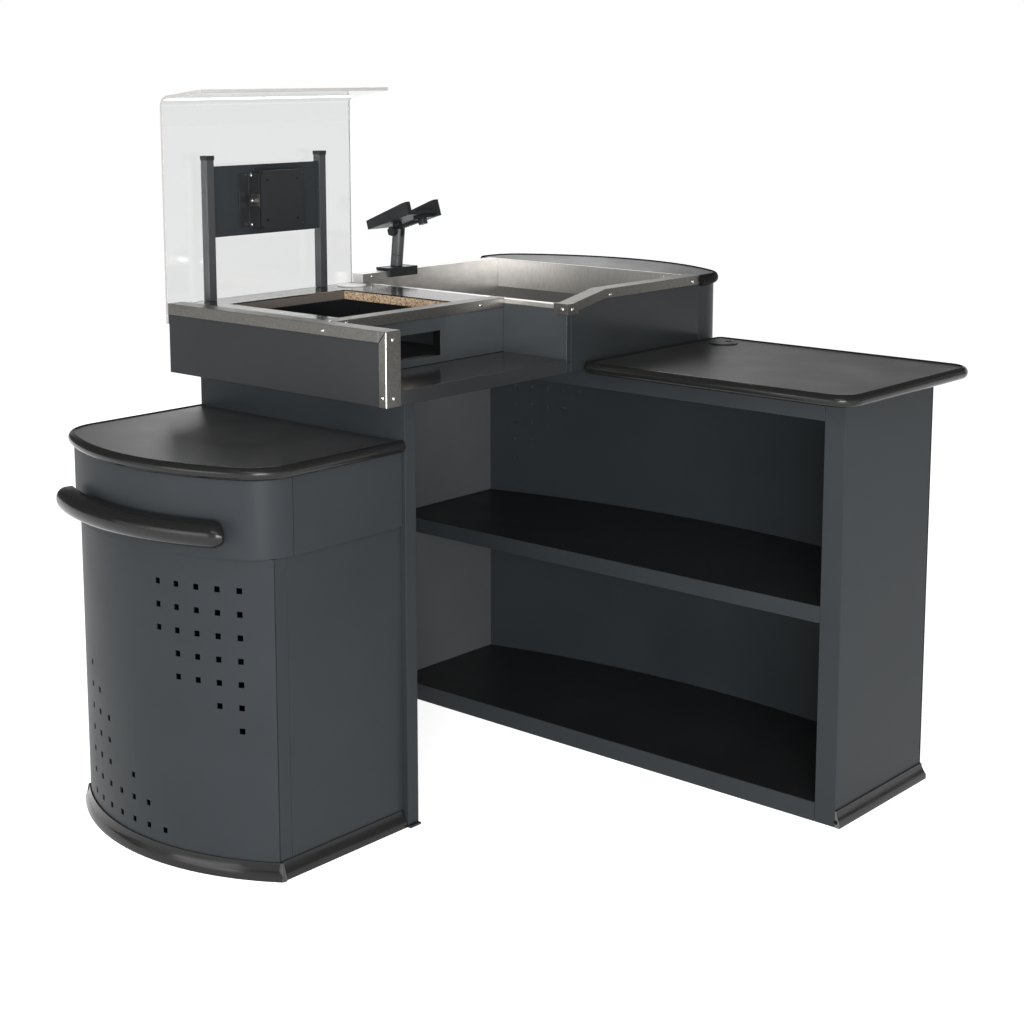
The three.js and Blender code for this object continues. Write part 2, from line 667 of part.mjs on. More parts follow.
function makeModule() {
  const z0 = PEDESTAL_HEIGHT;
  const y0 = sideInner + FIT;
  const sidePanel = box(customerX, cashierX, -SIDE_OVERHANG, sideInner, z0, deckZ);
  part("module_side_panel", sidePanel, laminateBrown);
  const trimY = -SIDE_OVERHANG - FIT;
  const legX = cashierX - TRIM_LEG / 2;
  const topTrim = join([
    box(customerX, legX - FIT, trimY - TRIM, sideInner, deckZ + FIT, deckZ + FIT + TRIM),
    box(customerX, legX - FIT, trimY - TRIM, trimY, deckZ - SIDE_TRIM_DROP, deckZ + FIT + TRIM),
  ]);
  part("side_top_trim", topTrim, stainless);
  const outX = cashierX + FIT + TRIM;
  const cornerTrim = join([
    box(legX, outX, trimY - TRIM, trimY, z0, deckZ + FIT + TRIM),
    box(cashierX + FIT, outX, trimY - TRIM, sideInner, z0, deckZ + FIT + TRIM),
    box(legX, outX, trimY - TRIM, sideInner, deckZ + FIT, deckZ + FIT + TRIM),
  ]);
  part("corner_trim", cornerTrim, stainless);

  const boardLow = deckZ - SKIN - FIT - TOP_BOARD;
  const floorX = recessX - MODULE_PANEL;
  part("module_floor", box(customerX, floorX - FIT, y0, TRAY_START - FIT, z0, z0 + FLOOR), laminateBlack);
  part("recess_ledge", box(floorX, cashierX, y0, TRAY_START - FIT, z0, ledgeZ), laminateBlack);
  const holeZ = ledgeZ + RECESS_HOLE_RISE;
  const backWall = cut(
    box(floorX, recessX, y0, TRAY_START - FIT, ledgeZ + FIT, boardLow - FIT),
    [box(floorX - SEAM, recessX + SEAM, RECESS_HOLE_Y0, RECESS_HOLE_Y1, holeZ, holeZ + RECESS_HOLE_HEIGHT)],
  );
  part("recess_back_wall", backWall, laminateBrown);

  const riseY = TRAY_START + SKIN + FIT; // behind the rim's folded end
  const wallOutline = [
    [y0, z0 + FLOOR + FIT],
    [TRAY_END, z0 + FLOOR + FIT],
    [TRAY_END, rimZ - SKIN - FIT],
    [riseY, rimZ - SKIN - FIT],
    [riseY, boardLow - FIT],
    [y0, boardLow - FIT],
  ];
  part("module_wall", prismX(wallOutline, customerX, customerX + MODULE_PANEL), laminateBrown);

  const cutout = box(...cutX, CUT_Y0, CUT_Y1, boardLow - SEAM, deckZ + SEAM);
  const bore = makeGrommet(
    "top_grommet", topGrommetX, TOP_GROMMET_Y, deckZ, TOP_GROMMET_DIAMETER, TOP_BOARD, plasticWhite,
  );
  const topBoard = box(customerX, recessX, y0, TRAY_START - FIT, boardLow, boardLow + TOP_BOARD);
  part("worktop_board", cut(topBoard, [cutout, bore]), chipboard);
  const skin = box(customerX, recessX, y0, TRAY_START - FIT, deckZ - SKIN, deckZ);
  part("worktop_skin", cut(skin, [cutout, bore]), stainless);
  const frontTrim = join([
    box(recessX - TRIM_LEG, recessX + FIT + TRIM, y0, TRAY_START - FIT, deckZ + FIT, deckZ + FIT + TRIM),
    box(recessX + FIT, recessX + FIT + TRIM, y0, TRAY_START - FIT, deckZ - TRIM_DROP, deckZ + FIT + TRIM),
  ]);
  part("worktop_front_trim", frontTrim, stainless);
}

// Rim line of the tray on the cashier side: low at the worktop, then up a ramp to the full rim
function rimLine(lift, start = TRAY_START) {
  return [
    [start, deckZ + lift],
    [RAMP_START, deckZ + lift],
    [RAMP_END, rimZ + lift],
    [TRAY_END, rimZ + lift],
  ];
}

function makeTrayBody() {
  const z0 = PEDESTAL_HEIGHT;
  const x0 = customerX + MODULE_PANEL + FIT;
  const faceX = cashierX - MODULE_PANEL;
  const under = -SKIN - FIT;
  const wallLow = z0 + FLOOR + FIT;
  const nearWall = box(x0, cashierX, TRAY_START, trayY, wallLow, deckZ + under);
  part("tray_near_wall", nearWall, laminateBrown);
  const faceStart = trayY + FIT;
  const faceOutline = [...rimLine(under, faceStart), [TRAY_END, z0], [faceStart, z0]];
  part("tray_front_panel", prismX(faceOutline, faceX, cashierX), laminateBrown);
  makeTray(x0, faceX);
  makeRimTrim();
}

// Fold of the tray's edge over the near wall, between the worktop's trim and the rim's clip
function nearLip() {
  const x0 = recessX + 2 * FIT + TRIM;
  const x1 = cashierX - TRIM_LEG - FIT;
  const face = TRAY_START - FIT;
  return [
    box(x0, x1, face - NEAR_LIP, TRAY_START, deckZ - SKIN, deckZ),
    box(x0, x1, face - NEAR_LIP, face, deckZ - NEAR_LIP_DROP, deckZ),
  ];
}

// Steel goods tray: a folded pan with rims, and a sloped foot under its far wall
function makeTray(x0, faceX) {
  const inX0 = customerX + RIM_WIDTH;
  const inX1 = faceX - FIT - SKIN;
  const inY0 = trayY + FIT + SKIN;
  const inY1 = TRAY_END - FAR_RIM;
  const slopeTop = rimZ - TRAY_LIP;
  const profile = (grow, top) => [
    [inY0 - grow, trayZ - grow],
    [inY1 - TRAY_SLOPE, trayZ - grow],
    [inY1 + grow, slopeTop - grow],
    [inY1 + grow, top],
    [inY0 - grow, top],
  ];
  const shell = cut(prismX(profile(SKIN, rimZ), inX0 - SKIN, inX1 + SKIN), [
    prismX(profile(0, rimZ + SEAM), inX0, inX1),
  ]);
  const rims = [
    box(customerX, inX0, TRAY_START, TRAY_END - FIT, rimZ - SKIN, rimZ),
    box(customerX, inX0, TRAY_START, TRAY_START + SKIN, deckZ - SKIN, rimZ),
    box(inX0 - SKIN, inX0, TRAY_START, inY0, deckZ - SKIN, rimZ),
    box(customerX, cashierX, inY1, TRAY_END - FIT, rimZ - SKIN, rimZ),
    box(inX0 - SKIN, cashierX, TRAY_START, inY0, deckZ - SKIN, deckZ),
    ...nearLip(),
  ];
  const overRamp = [
    [TRAY_START - SEAM, deckZ],
    [RAMP_START, deckZ],
    [RAMP_END, rimZ],
    [RAMP_END, rimZ + RIM_RISE],
    [TRAY_START - SEAM, rimZ + RIM_RISE],
  ];
  const nearTop = [
    [TRAY_START - SEAM, deckZ],
    [inY0, deckZ],
    [inY0, rimZ + SEAM],
    [TRAY_START - SEAM, rimZ + SEAM],
  ];
  const open = [
    prismX(overRamp, inX1 - SEAM, cashierX + SEAM),
    prismX(nearTop, inX0, cashierX + SEAM),
  ];
  const ramp = [...rimLine(0), ...rimLine(-SKIN).reverse()];
  const rampRim = prismX(ramp, inX1, cashierX);
  part("goods_tray", join([cut(join([shell, ...rims]), open), rampRim]), stainless);
}

// Stainless angle over the ramped rim, with a corner clip at its low end
function makeRimTrim() {
  const top = rimLine(FIT + TRIM);
  const outer = prismX([...top, ...rimLine(-TRIM_DROP).reverse()], cashierX + FIT, cashierX + FIT + TRIM);
  const upper = prismX([...top, ...rimLine(FIT).reverse()], cashierX - TRIM_LEG, cashierX + FIT + TRIM);
  const clipX = cashierX + FIT;
  const clipY = TRAY_START - FIT;
  const clipTop = deckZ + FIT + TRIM;
  const clip = [
    box(clipX, clipX + 2 * TRIM, clipY - TRIM, clipY + CLIP_WIDTH, deckZ - CLIP_DROP, clipTop),
    box(cashierX - TRIM_LEG, clipX + 2 * TRIM, clipY - TRIM, clipY, deckZ - CLIP_DROP, clipTop),
  ];
  part("rim_trim", join([outer, upper, ...clip]), stainless);
}

// Outline of the far end: short straight sides and a bow
function farPath(half, middle) {
  const start = TRAY_END + FIT;
  const round = shift(mirrorY(bow(half, BOW_RADIUS, BOW_CORNER)), middle, start + FAR_STRAIGHT);
  return [[round[0][0], start], ...round, [round.at(-1)[0], start]];
}

function makeFarEnd() {
  const half = (cashierX - customerX) / 2;
  const middle = (cashierX + customerX) / 2;
  const bowPath = farPath(half, middle);
  const boardLow = rimZ - BOARD;
  part("far_end_panel", sheetAlong(bowPath, SHEET, PEDESTAL_HEIGHT, boardLow - FIT), steelGrey);
  const floorPath = offset(bowPath, -SHEET - FIT);
  const behindFace = cashierX - MODULE_PANEL - FIT;
  const floorOutline = [
    ...floorPath,
    [behindFace, TRAY_END + FIT],
    [behindFace, trayY],
    [cashierX, trayY],
    [cashierX, TRAY_START],
    [customerX, TRAY_START],
    [customerX, TRAY_END],
  ];
  part("tray_floor_board", prism(floorOutline, PEDESTAL_HEIGHT, PEDESTAL_HEIGHT + FLOOR), laminateBlack);
  const topMiddle = middle - FAR_OVERHANG / 2;
  const topPath = farPath(half + FAR_OVERHANG / 2, topMiddle);
  part("far_end_top", prism(topPath, boardLow, rimZ), laminateBlack);
  part("far_end_edge", sweep(topPath, edging(boardLow), false), rubberBlack);
}

// Screen profile in x and z: an upright sheet bent over into a lip that rises a little
function screenProfile(outerX) {
  const rise = THREE.MathUtils.degToRad(SCREEN_LIP_RISE);
  const bendX = outerX + SCREEN_BEND_RADIUS + ACRYLIC;
  const bendZ = screenTop - SCREEN_BEND_RADIUS - ACRYLIC;
  const line = (radius) => arc(bendX, bendZ, radius, Math.PI, Math.PI / 2 + rise, 8);
  const along = (point) => [
    point[0] + SCREEN_LIP * Math.cos(rise),
    point[1] + SCREEN_LIP * Math.sin(rise),
  ];
  const outer = line(SCREEN_BEND_RADIUS + ACRYLIC);
  const inner = line(SCREEN_BEND_RADIUS);
  return [
    [outerX, screenLow],
    ...outer,
    along(outer.at(-1)),
    along(inner.at(-1)),
    ...inner.reverse(),
    [outerX + ACRYLIC, screenLow],
  ];
}

function makeScreen() {
  const spacerX = customerX - FIT - SCREEN_SPACER;
  const outerX = spacerX - FIT - ACRYLIC;
  part("screen", prismY(screenProfile(outerX), SCREEN_Y0, SCREEN_Y1), acrylic);
  const spacerTop = deckZ - SKIN;
  const spacer = box(spacerX, customerX - FIT, SCREEN_Y0, SCREEN_Y1, screenLow, spacerTop);
  part("screen_spacer", spacer, plasticBlack);
}

function makeMonitorStand() {
  const half = POST / 2;
  POST_Y.forEach((y, i) => {
    const side = ["left", "right"][i];
    const bore = half - POST_WALL;
    const tube = cut(box(postX - half, postX + half, y - half, y + half, deckZ + FIT, postTop), [
      box(postX - bore, postX + bore, y - bore, y + bore, deckZ - SEAM, postTop + SEAM),
    ]);
    part(`post_${side}`, tube, steelBlack);
  });
  const y0 = POST_Y[0] + half + FIT;
  const y1 = POST_Y[1] - half - FIT;
  const plateX = postX;
  const top = postTop - CROSS_DROP;
  const low = top - CROSS_HEIGHT;
  const cross = join([
    box(plateX, plateX + SHEET, y0, y1, low, top),
    box(postX - half, plateX + SHEET, y0, y0 + SHEET, low, top),
    box(postX - half, plateX + SHEET, y1 - SHEET, y1, low, top),
  ]);
  part("cross_plate", cross, steelBlack);
  makeTiltMount(plateX + SHEET + FIT, (low + top) / 2);
}

// Bracket on the cross plate, and the mounting plate that tilts on it about an axis along Y
function makeTiltMount(x, z) {
  const faceX = x + BRACKET_REACH;
  const pivotX = faceX - PIVOT_SETBACK;
  const halfBracket = BRACKET_HEIGHT / 2;
  const flangeY = BRACKET_Y + SHEET;
  const pivotBore = PIVOT_DIAMETER + 2 * FIT;
  const bracket = cut(
    join([
      box(x, x + SHEET, BRACKET_Y - BRACKET_FOOT, flangeY, z - halfBracket, z + halfBracket),
      box(x, faceX - SHEET - SEAM, BRACKET_Y, flangeY, z - halfBracket, z + halfBracket),
    ]),
    [barY(pivotX, z, BRACKET_Y - SEAM, flangeY + SEAM, pivotBore)],
  );
  part("tilt_bracket", bracket, steelBlack);
  const earY = flangeY + FIT;
  const halfEar = EAR / 2;
  const halfVesa = VESA_HEIGHT / 2;
  const holes = [barY(pivotX, z, earY - SEAM, earY + SHEET + SEAM, pivotBore)];
  const middleY = earY + VESA_WIDTH / 2;
  for (const pattern of VESA_PATTERNS) {
    for (const [u, v] of [[-1, -1], [1, -1], [1, 1], [-1, 1]]) {
      const hole = new THREE.CylinderGeometry(VESA_HOLE / 2, VESA_HOLE / 2, 4 * SHEET, 12);
      hole.rotateZ(Math.PI / 2);
      holes.push(hole.translate(faceX, middleY + (u * pattern) / 2, z + (v * pattern) / 2));
    }
  }
  const plate = cut(
    join([
      box(faceX - SHEET, faceX, earY, earY + VESA_WIDTH, z - halfVesa, z + halfVesa),
      box(pivotX - halfEar + SHEET, faceX, earY, earY + SHEET, z - halfEar, z + halfEar),
    ]),
    holes,
  );
  part("vesa_plate", plate, steelBlack);
  const block = halfEar * 0.8;
  const bolt = join([
    barY(pivotX, z, BRACKET_Y - FIT - 4 * SHEET, earY + 4 * SHEET, PIVOT_DIAMETER),
    box(pivotX - block, pivotX + block, BRACKET_Y - FIT - SHEET, BRACKET_Y - FIT, z - block, z + block),
    barY(pivotX, z, BRACKET_Y - FIT - 5 * SHEET, BRACKET_Y - FIT - SHEET, PIVOT_DIAMETER * 1.7, 6),
    barY(pivotX, z, earY + SHEET + FIT, earY + 4 * SHEET, PIVOT_DIAMETER * 1.7, 6),
  ]);
  part("pivot_bolt", bolt, stainless);
}

// Knob on a shank: a round grip with flutes, axis along Z, its shank end at z = 0
function knob(shank, length) {
  const grip = disc(0, 0, -KNOB_HEIGHT, 0, KNOB_DIAMETER, 36);
  const flutes = [];
  for (let i = 0; i < 6; i++) {
    const a = (i * Math.PI) / 3;
    const r = KNOB_DIAMETER * 0.56;
    const centre = [r * Math.cos(a), r * Math.sin(a)];
    flutes.push(disc(...centre, -2 * KNOB_HEIGHT, KNOB_HEIGHT, KNOB_DIAMETER / 4, 10));
  }
  return join([cut(grip, flutes), disc(0, 0, -KNOB_HEIGHT / 2, length, shank, 16)]);
}

function makeTerminalHolder() {
  const top = rimZ + FIT + SADDLE;
  const saddle = join([
    box(
      customerX - SADDLE_OUT, customerX + RIM_WIDTH + FIT + SADDLE,
      HOLDER_Y - SADDLE_BACK, HOLDER_Y - SADDLE_BACK + SADDLE_WIDTH, rimZ + FIT, top,
    ),
    box(
      customerX + RIM_WIDTH + FIT, customerX + RIM_WIDTH + FIT + SADDLE,
      HOLDER_Y - SADDLE_BACK, HOLDER_Y - SADDLE_BACK + SADDLE_WIDTH, rimZ - SADDLE_DROP, top,
    ),
  ]);
  const column = new THREE.Group();
  column.position.set(holderX, HOLDER_Y, top);
  column.rotation.y = THREE.MathUtils.degToRad(HOLDER_LEAN);
  desk.add(column);

  // The leaning foot is trimmed level with the saddle
  const lean = Math.tan(THREE.MathUtils.degToRad(HOLDER_LEAN));
  const r = STEM_DIAMETER / 2;
  const wide = 2 * r;
  const below = [[-wide, -r], [wide, -r], [wide, FIT + wide * lean], [-wide, FIT - wide * lean]];
  const level = prismY(below, -wide, wide);
  part("terminal_saddle", saddle, steelBlack);
  part("terminal_foot", cut(disc(0, 0, -r, STEM_FOOT, STEM_DIAMETER), [level]), plasticBlack, column);
  const bore = PIVOT_DIAMETER + 2 * FIT;
  const slotHalf = TONGUE / 2 + FIT;
  const forkTop = STEM_LENGTH + FORK_RISE;
  const slotLow = STEM_LENGTH - TONGUE_RADIUS - SEAM;
  const stem = cut(disc(0, 0, STEM_FOOT + FIT, forkTop, STEM_DIAMETER), [
    box(-wide, wide, -slotHalf, slotHalf, slotLow, forkTop + SEAM),
    barY(0, STEM_LENGTH, -wide, wide, bore),
  ]);
  part("terminal_stem", stem, plasticBlack, column);
  makeTerminalHead(column, bore);
}

// Head with a fixed jaw, a sliding jaw under its plate, a clamp knob and a tilt knob
function makeTerminalHead(column, bore) {
  const head = new THREE.Group();
  head.position.z = STEM_LENGTH;
  head.rotation.y = -THREE.MathUtils.degToRad(HEAD_TILT + HOLDER_LEAN);
  column.add(head);
  const half = HEAD_LENGTH / 2;
  const inner = JAW_GAP / 2;
  const plateTop = PIVOT_DROP + HEAD_PLATE;
  const tongue = join([
    barY(0, 0, -TONGUE / 2, TONGUE / 2, 2 * TONGUE_RADIUS),
    box(-TONGUE_RADIUS, TONGUE_RADIUS, -TONGUE / 2, TONGUE / 2, 0, PIVOT_DROP + SEAM),
  ]);
  const low = HEAD_SHIFT - half;
  const high = HEAD_SHIFT + half;
  const jawSide = [
    [low, PIVOT_DROP],
    [high, PIVOT_DROP],
    [high, plateTop + JAW_HEIGHT],
    [high - JAW, plateTop + JAW_HEIGHT],
    [low, plateTop + JAW_HEIGHT * 0.6],
  ];
  const slotHalf = PIVOT_DIAMETER / 2 + FIT;
  const slot = box(
    CLAMP_X - slotHalf, CLAMP_X + slotHalf, CLAMP_Y - JAW_IN - slotHalf, CLAMP_Y + JAW_OUT + slotHalf,
    PIVOT_DROP - SEAM, plateTop + SEAM,
  );
  const plateEnd = inner - JAW_IN - 2 * FIT;
  const body = cut(
    join([
      box(low, high, -inner, plateEnd, PIVOT_DROP, plateTop),
      prismY(jawSide, -inner - JAW, -inner),
      tongue,
    ]),
    [barY(0, 0, -inner, inner, bore), slot],
  );
  part("terminal_head", body, plasticBlack, head);

  const footTop = PIVOT_DROP - FIT;
  const footLow = footTop - HEAD_PLATE;
  const clampBore = disc(CLAMP_X, CLAMP_Y, footLow - SEAM, footTop + SEAM, PIVOT_DIAMETER);
  const jawOutline = jawSide.map(([x, z]) => [x, z < plateTop ? footLow : z]);
  const jaw = cut(
    join([
      box(CLAMP_X - JAW, CLAMP_X + JAW, CLAMP_Y - JAW, inner + JAW, footLow, footTop),
      prismY(jawOutline, inner, inner + JAW),
    ]),
    [clampBore],
  );
  part("terminal_jaw", jaw, plasticBlack, head);
  const clampKnob = knob(PIVOT_DIAMETER - 2 * FIT, HEAD_PLATE * 2);
  clampKnob.translate(CLAMP_X, CLAMP_Y, footLow - FIT);
  part("clamp_knob", clampKnob, plasticBlack, head);
  const tiltReach = STEM_DIAMETER / 2 + FIT;
  const tiltKnob = knob(PIVOT_DIAMETER, 2 * tiltReach);
  tiltKnob.rotateX(-Math.PI / 2);
  tiltKnob.translate(0, -tiltReach, 0);
  part("tilt_knob", tiltKnob, plasticBlack, head);
}

makeBaggingEnd();
makePedestal();
makeShelfUnit();
makeSideBoard();
makeModule();
makeTrayBody();
makeFarEnd();
makeScreen();
makeMonitorStand();
makeTerminalHolder();

// The origin is the middle of the box on the floor
desk.updateMatrixWorld(true);
const bounds = new THREE.Box3().setFromObject(desk, true);
const centre = bounds.getCenter(new THREE.Vector3());
desk.position.set(-centre.x, -centre.y, 0);

export default desk;
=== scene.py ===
"""Looks of a shop checkout counter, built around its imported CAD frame."""

import json
import math

import bmesh
import bpy
from mathutils import Matrix, Vector

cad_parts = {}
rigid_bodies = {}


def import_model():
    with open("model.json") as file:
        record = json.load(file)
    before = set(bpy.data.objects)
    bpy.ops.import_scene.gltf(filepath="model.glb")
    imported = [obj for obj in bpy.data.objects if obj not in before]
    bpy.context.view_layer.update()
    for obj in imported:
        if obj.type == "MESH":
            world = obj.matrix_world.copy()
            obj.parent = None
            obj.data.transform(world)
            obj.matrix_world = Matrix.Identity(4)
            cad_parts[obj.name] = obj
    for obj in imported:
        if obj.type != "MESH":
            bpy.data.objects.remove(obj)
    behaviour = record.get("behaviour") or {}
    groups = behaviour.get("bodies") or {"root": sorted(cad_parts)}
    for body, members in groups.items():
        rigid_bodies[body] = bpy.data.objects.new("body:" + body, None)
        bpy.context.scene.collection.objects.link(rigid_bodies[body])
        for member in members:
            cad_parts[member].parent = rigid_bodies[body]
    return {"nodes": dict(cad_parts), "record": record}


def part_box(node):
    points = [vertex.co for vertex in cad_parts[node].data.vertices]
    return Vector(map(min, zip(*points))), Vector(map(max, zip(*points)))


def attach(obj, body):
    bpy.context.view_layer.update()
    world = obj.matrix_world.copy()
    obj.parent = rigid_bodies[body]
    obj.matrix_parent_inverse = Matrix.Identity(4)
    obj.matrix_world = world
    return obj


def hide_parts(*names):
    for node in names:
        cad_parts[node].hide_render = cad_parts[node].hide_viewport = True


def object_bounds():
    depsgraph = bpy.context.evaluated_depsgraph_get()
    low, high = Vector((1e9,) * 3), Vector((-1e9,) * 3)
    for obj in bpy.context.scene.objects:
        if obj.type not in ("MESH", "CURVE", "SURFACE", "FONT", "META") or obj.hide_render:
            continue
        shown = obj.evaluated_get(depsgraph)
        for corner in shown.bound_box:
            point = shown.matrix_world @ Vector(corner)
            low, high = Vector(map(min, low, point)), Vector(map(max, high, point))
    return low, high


for leftover in list(bpy.data.objects):
    bpy.data.objects.remove(leftover)

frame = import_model()
cad_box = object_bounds()
slot_of = {s["node"]: s["material_slot"] for s in frame["record"]["subparts"]}
body_of = {n: b for b, ns in frame["record"]["behaviour"]["bodies"].items() for n in ns}

MM = 0.001
WELD = 0.01 * MM  # vertices closer than this are one
FLAT = math.radians(0.3)  # faces that differ less are one flat face

# Photo camera: where it stands in the row frame, how it looks, and its lens in pixels of a 1024 square frame
IMAGE = 1024
FOCAL_PIXELS = 1846.9
SENSOR = 36  # millimetres
CAMERA_PLACE = (2.1157, -2.4674, 1.3114)
CAMERA_YAW = 40.98  # degrees, turned left from +Y
CAMERA_PITCH = 9.03  # degrees, down
CAMERA_SHIFT = -0.15  # of the frame, downwards


# Materials: grain in cycles per metre, relief in metres

NOISE_REACH = (0.3, 0.7)  # where nearly all of a noise texture's values lie
COAT_CLOUD = 5
COAT_PEEL, PEEL_DEPTH = 420, 0.06 * MM
LAMINATE_CLOUD = 9
LAMINATE_CELLS, CELL_DEPTH = 700, 0.12 * MM
STEEL_CLOUD = 6
BRUSH_LINES = 30
STEEL_SPECKLE, SPECKLE_REACH = 520, (0.35, 0.65)
PLASTIC_FLOW, FLOW_DEPTH = 60, 0.05 * MM
CHIPS, CHIP_DEPTH = 380, 0.5 * MM
SCUFFS = 14
ACRYLIC_IOR = 1.49


def new_material(name, color, roughness, metallic=0.0, specular=0.5):
    """A principled material; returns it with its node tree and shader."""
    material = bpy.data.materials.new(name)
    material.use_nodes = True
    tree = material.node_tree
    shader = tree.nodes["Principled BSDF"]
    shader.inputs["Base Color"].default_value = (*color, 1)
    shader.inputs["Roughness"].default_value = roughness
    shader.inputs["Metallic"].default_value = metallic
    shader.inputs["Specular IOR Level"].default_value = specular
    return material, tree, shader


def object_noise(tree, scale, stretch=(1, 1, 1), detail=3.0):
    """Noise in the row frame, in cycles per metre, with a stretch per axis."""
    place = tree.nodes.new("ShaderNodeTexCoord")
    mapping = tree.nodes.new("ShaderNodeMapping")
    mapping.inputs["Scale"].default_value = stretch
    noise = tree.nodes.new("ShaderNodeTexNoise")
    noise.inputs["Scale"].default_value = scale
    noise.inputs["Detail"].default_value = detail
    tree.links.new(place.outputs["Object"], mapping.inputs["Vector"])
    tree.links.new(mapping.outputs["Vector"], noise.inputs["Vector"])
    return noise


def ramp(tree, source, stops):
    """Colour ramp over a factor; stops are (position, colour)."""
    node = tree.nodes.new("ShaderNodeValToRGB")
    elements = node.color_ramp.elements
    for element, (position, color) in zip(elements, (stops[0], stops[-1])):
        element.position = position
        element.color = (*color, 1)
    for position, color in stops[1:-1]:
        elements.new(position).color = (*color, 1)
    tree.links.new(source, node.inputs["Fac"])
    return node.outputs["Color"]


def vary_roughness(tree, shader, source, low, high):
    """Roughness that follows a noise factor between two values."""
    node = tree.nodes.new("ShaderNodeMapRange")
    node.inputs["From Min"].default_value, node.inputs["From Max"].default_value = NOISE_REACH
    node.inputs["To Min"].default_value = low
    node.inputs["To Max"].default_value = high
    tree.links.new(source, node.inputs["Value"])
    tree.links.new(node.outputs["Result"], shader.inputs["Roughness"])


def vary_color(tree, shader, source, color, dark, light, reach=NOISE_REACH):
    """Colour that follows a noise factor between a darker and a lighter share of a tone."""
    stops = [(position, [c * share for c in color]) for position, share in zip(reach, (dark, light))]
    tree.links.new(ramp(tree, source, stops), shader.inputs["Base Color"])


def relief(tree, shader, source, depth):
    """Bump of a depth in metres."""
    bump = tree.nodes.new("ShaderNodeBump")
    bump.inputs["Distance"].default_value = depth
    bump.inputs["Strength"].default_value = 1
    tree.links.new(source, bump.inputs["Height"])
    tree.links.new(bump.outputs["Normal"], shader.inputs["Normal"])


def powder_coat(name, color, roughness=0.42, specular=0.3):
    """Fine orange-peel coat with a faint cloudy tone."""
    material, tree, shader = new_material(name, color, roughness, specular=specular)
    cloud = object_noise(tree, COAT_CLOUD, detail=4).outputs["Fac"]
    vary_color(tree, shader, cloud, color, 0.93, 1.07)
    vary_roughness(tree, shader, cloud, roughness - 0.04, roughness + 0.04)
    peel = object_noise(tree, COAT_PEEL, detail=2).outputs["Fac"]
    relief(tree, shader, peel, PEEL_DEPTH)
    return material


def grained_laminate(name, color, roughness=0.4, specular=0.4):
    """Black laminate with a fine leather-like grain."""
    material, tree, shader = new_material(name, color, roughness, specular=specular)
    place = tree.nodes.new("ShaderNodeTexCoord")
    cells = tree.nodes.new("ShaderNodeTexVoronoi")
    cells.inputs["Scale"].default_value = LAMINATE_CELLS
    tree.links.new(place.outputs["Object"], cells.inputs["Vector"])
    relief(tree, shader, cells.outputs["Distance"], CELL_DEPTH)
    cloud = object_noise(tree, LAMINATE_CLOUD, detail=5).outputs["Fac"]
    vary_color(tree, shader, cloud, color, 0.85, 1.15)
    vary_roughness(tree, shader, cloud, roughness - 0.05, roughness + 0.05)
    return material


def brushed_steel(name, color, roughness, stretch, edge=1.0, wear=0.04):
    """Stainless sheet with faint brush lines along the axis of the smallest stretch, and cloudy wear."""
    material, tree, shader = new_material(name, color, roughness, metallic=1.0)
    shader.inputs["Specular Tint"].default_value = (edge, edge, edge, 1)
    lines = object_noise(tree, BRUSH_LINES, stretch=stretch, detail=6).outputs["Fac"]
    vary_color(tree, shader, lines, color, 0.9, 1.08)
    cloud = object_noise(tree, STEEL_CLOUD, detail=4).outputs["Fac"]
    vary_roughness(tree, shader, cloud, roughness - wear, roughness + wear)
    return material


def speckled_steel(name, color, roughness, edge):
    """Dull stainless angle with a fine speckle."""
    material, tree, shader = new_material(name, color, roughness, metallic=1.0)
    shader.inputs["Specular Tint"].default_value = (edge, edge, edge, 1)
    speckle = object_noise(tree, STEEL_SPECKLE, detail=2).outputs["Fac"]
    vary_color(tree, shader, speckle, color, 0.72, 1.25, SPECKLE_REACH)
    vary_roughness(tree, shader, speckle, roughness - 0.08, roughness + 0.08)
    return material


def moulded_plastic(name, color, roughness, specular=0.5, stretch=(1, 1, 1), uneven=0.06):
    """Moulded plastic with flow marks, or streaks where the stretch is uneven."""
    material, tree, shader = new_material(name, color, roughness, specular=specular)
    flow = object_noise(tree, PLASTIC_FLOW, stretch=stretch).outputs["Fac"]
    vary_roughness(tree, shader, flow, roughness - uneven, roughness + uneven)
    relief(tree, shader, flow, FLOW_DEPTH)
    return material


def raw_chipboard(name):
    """Pressed chips in several browns."""
    material, tree, shader = new_material(name, (0.42, 0.27, 0.13), 0.85, specular=0.2)
    place = tree.nodes.new("ShaderNodeTexCoord")
    chips = tree.nodes.new("ShaderNodeTexVoronoi")
    chips.inputs["Scale"].default_value = CHIPS
    chips.inputs["Randomness"].default_value = 1
    tree.links.new(place.outputs["Object"], chips.inputs["Vector"])
    split = tree.nodes.new("ShaderNodeSeparateColor")
    tree.links.new(chips.outputs["Color"], split.inputs["Color"])
    browns = [
        (0.0, (0.24, 0.14, 0.075)),
        (0.3, (0.6, 0.4, 0.24)),
        (0.65, (0.78, 0.58, 0.39)),
        (1.0, (0.88, 0.72, 0.53)),
    ]
    tree.links.new(ramp(tree, split.outputs["Red"], browns), shader.inputs["Base Color"])
    relief(tree, shader, chips.outputs["Distance"], CHIP_DEPTH)
    return material


def painted_shade_sheet(name, dark, light, low, high):
    """Plain sheet with painted shade: darker towards the bottom, lighter upwards between two heights given
    as fractions of its own.
    """
    material, tree, shader = new_material(name, light, 0.6, specular=0.2)
    place = tree.nodes.new("ShaderNodeTexCoord")
    split = tree.nodes.new("ShaderNodeSeparateXYZ")
    tree.links.new(place.outputs["Generated"], split.inputs["Vector"])
    tone = ramp(tree, split.outputs["Z"], [(low, dark), (high, light)])
    tree.links.new(tone, shader.inputs["Base Color"])
    return material


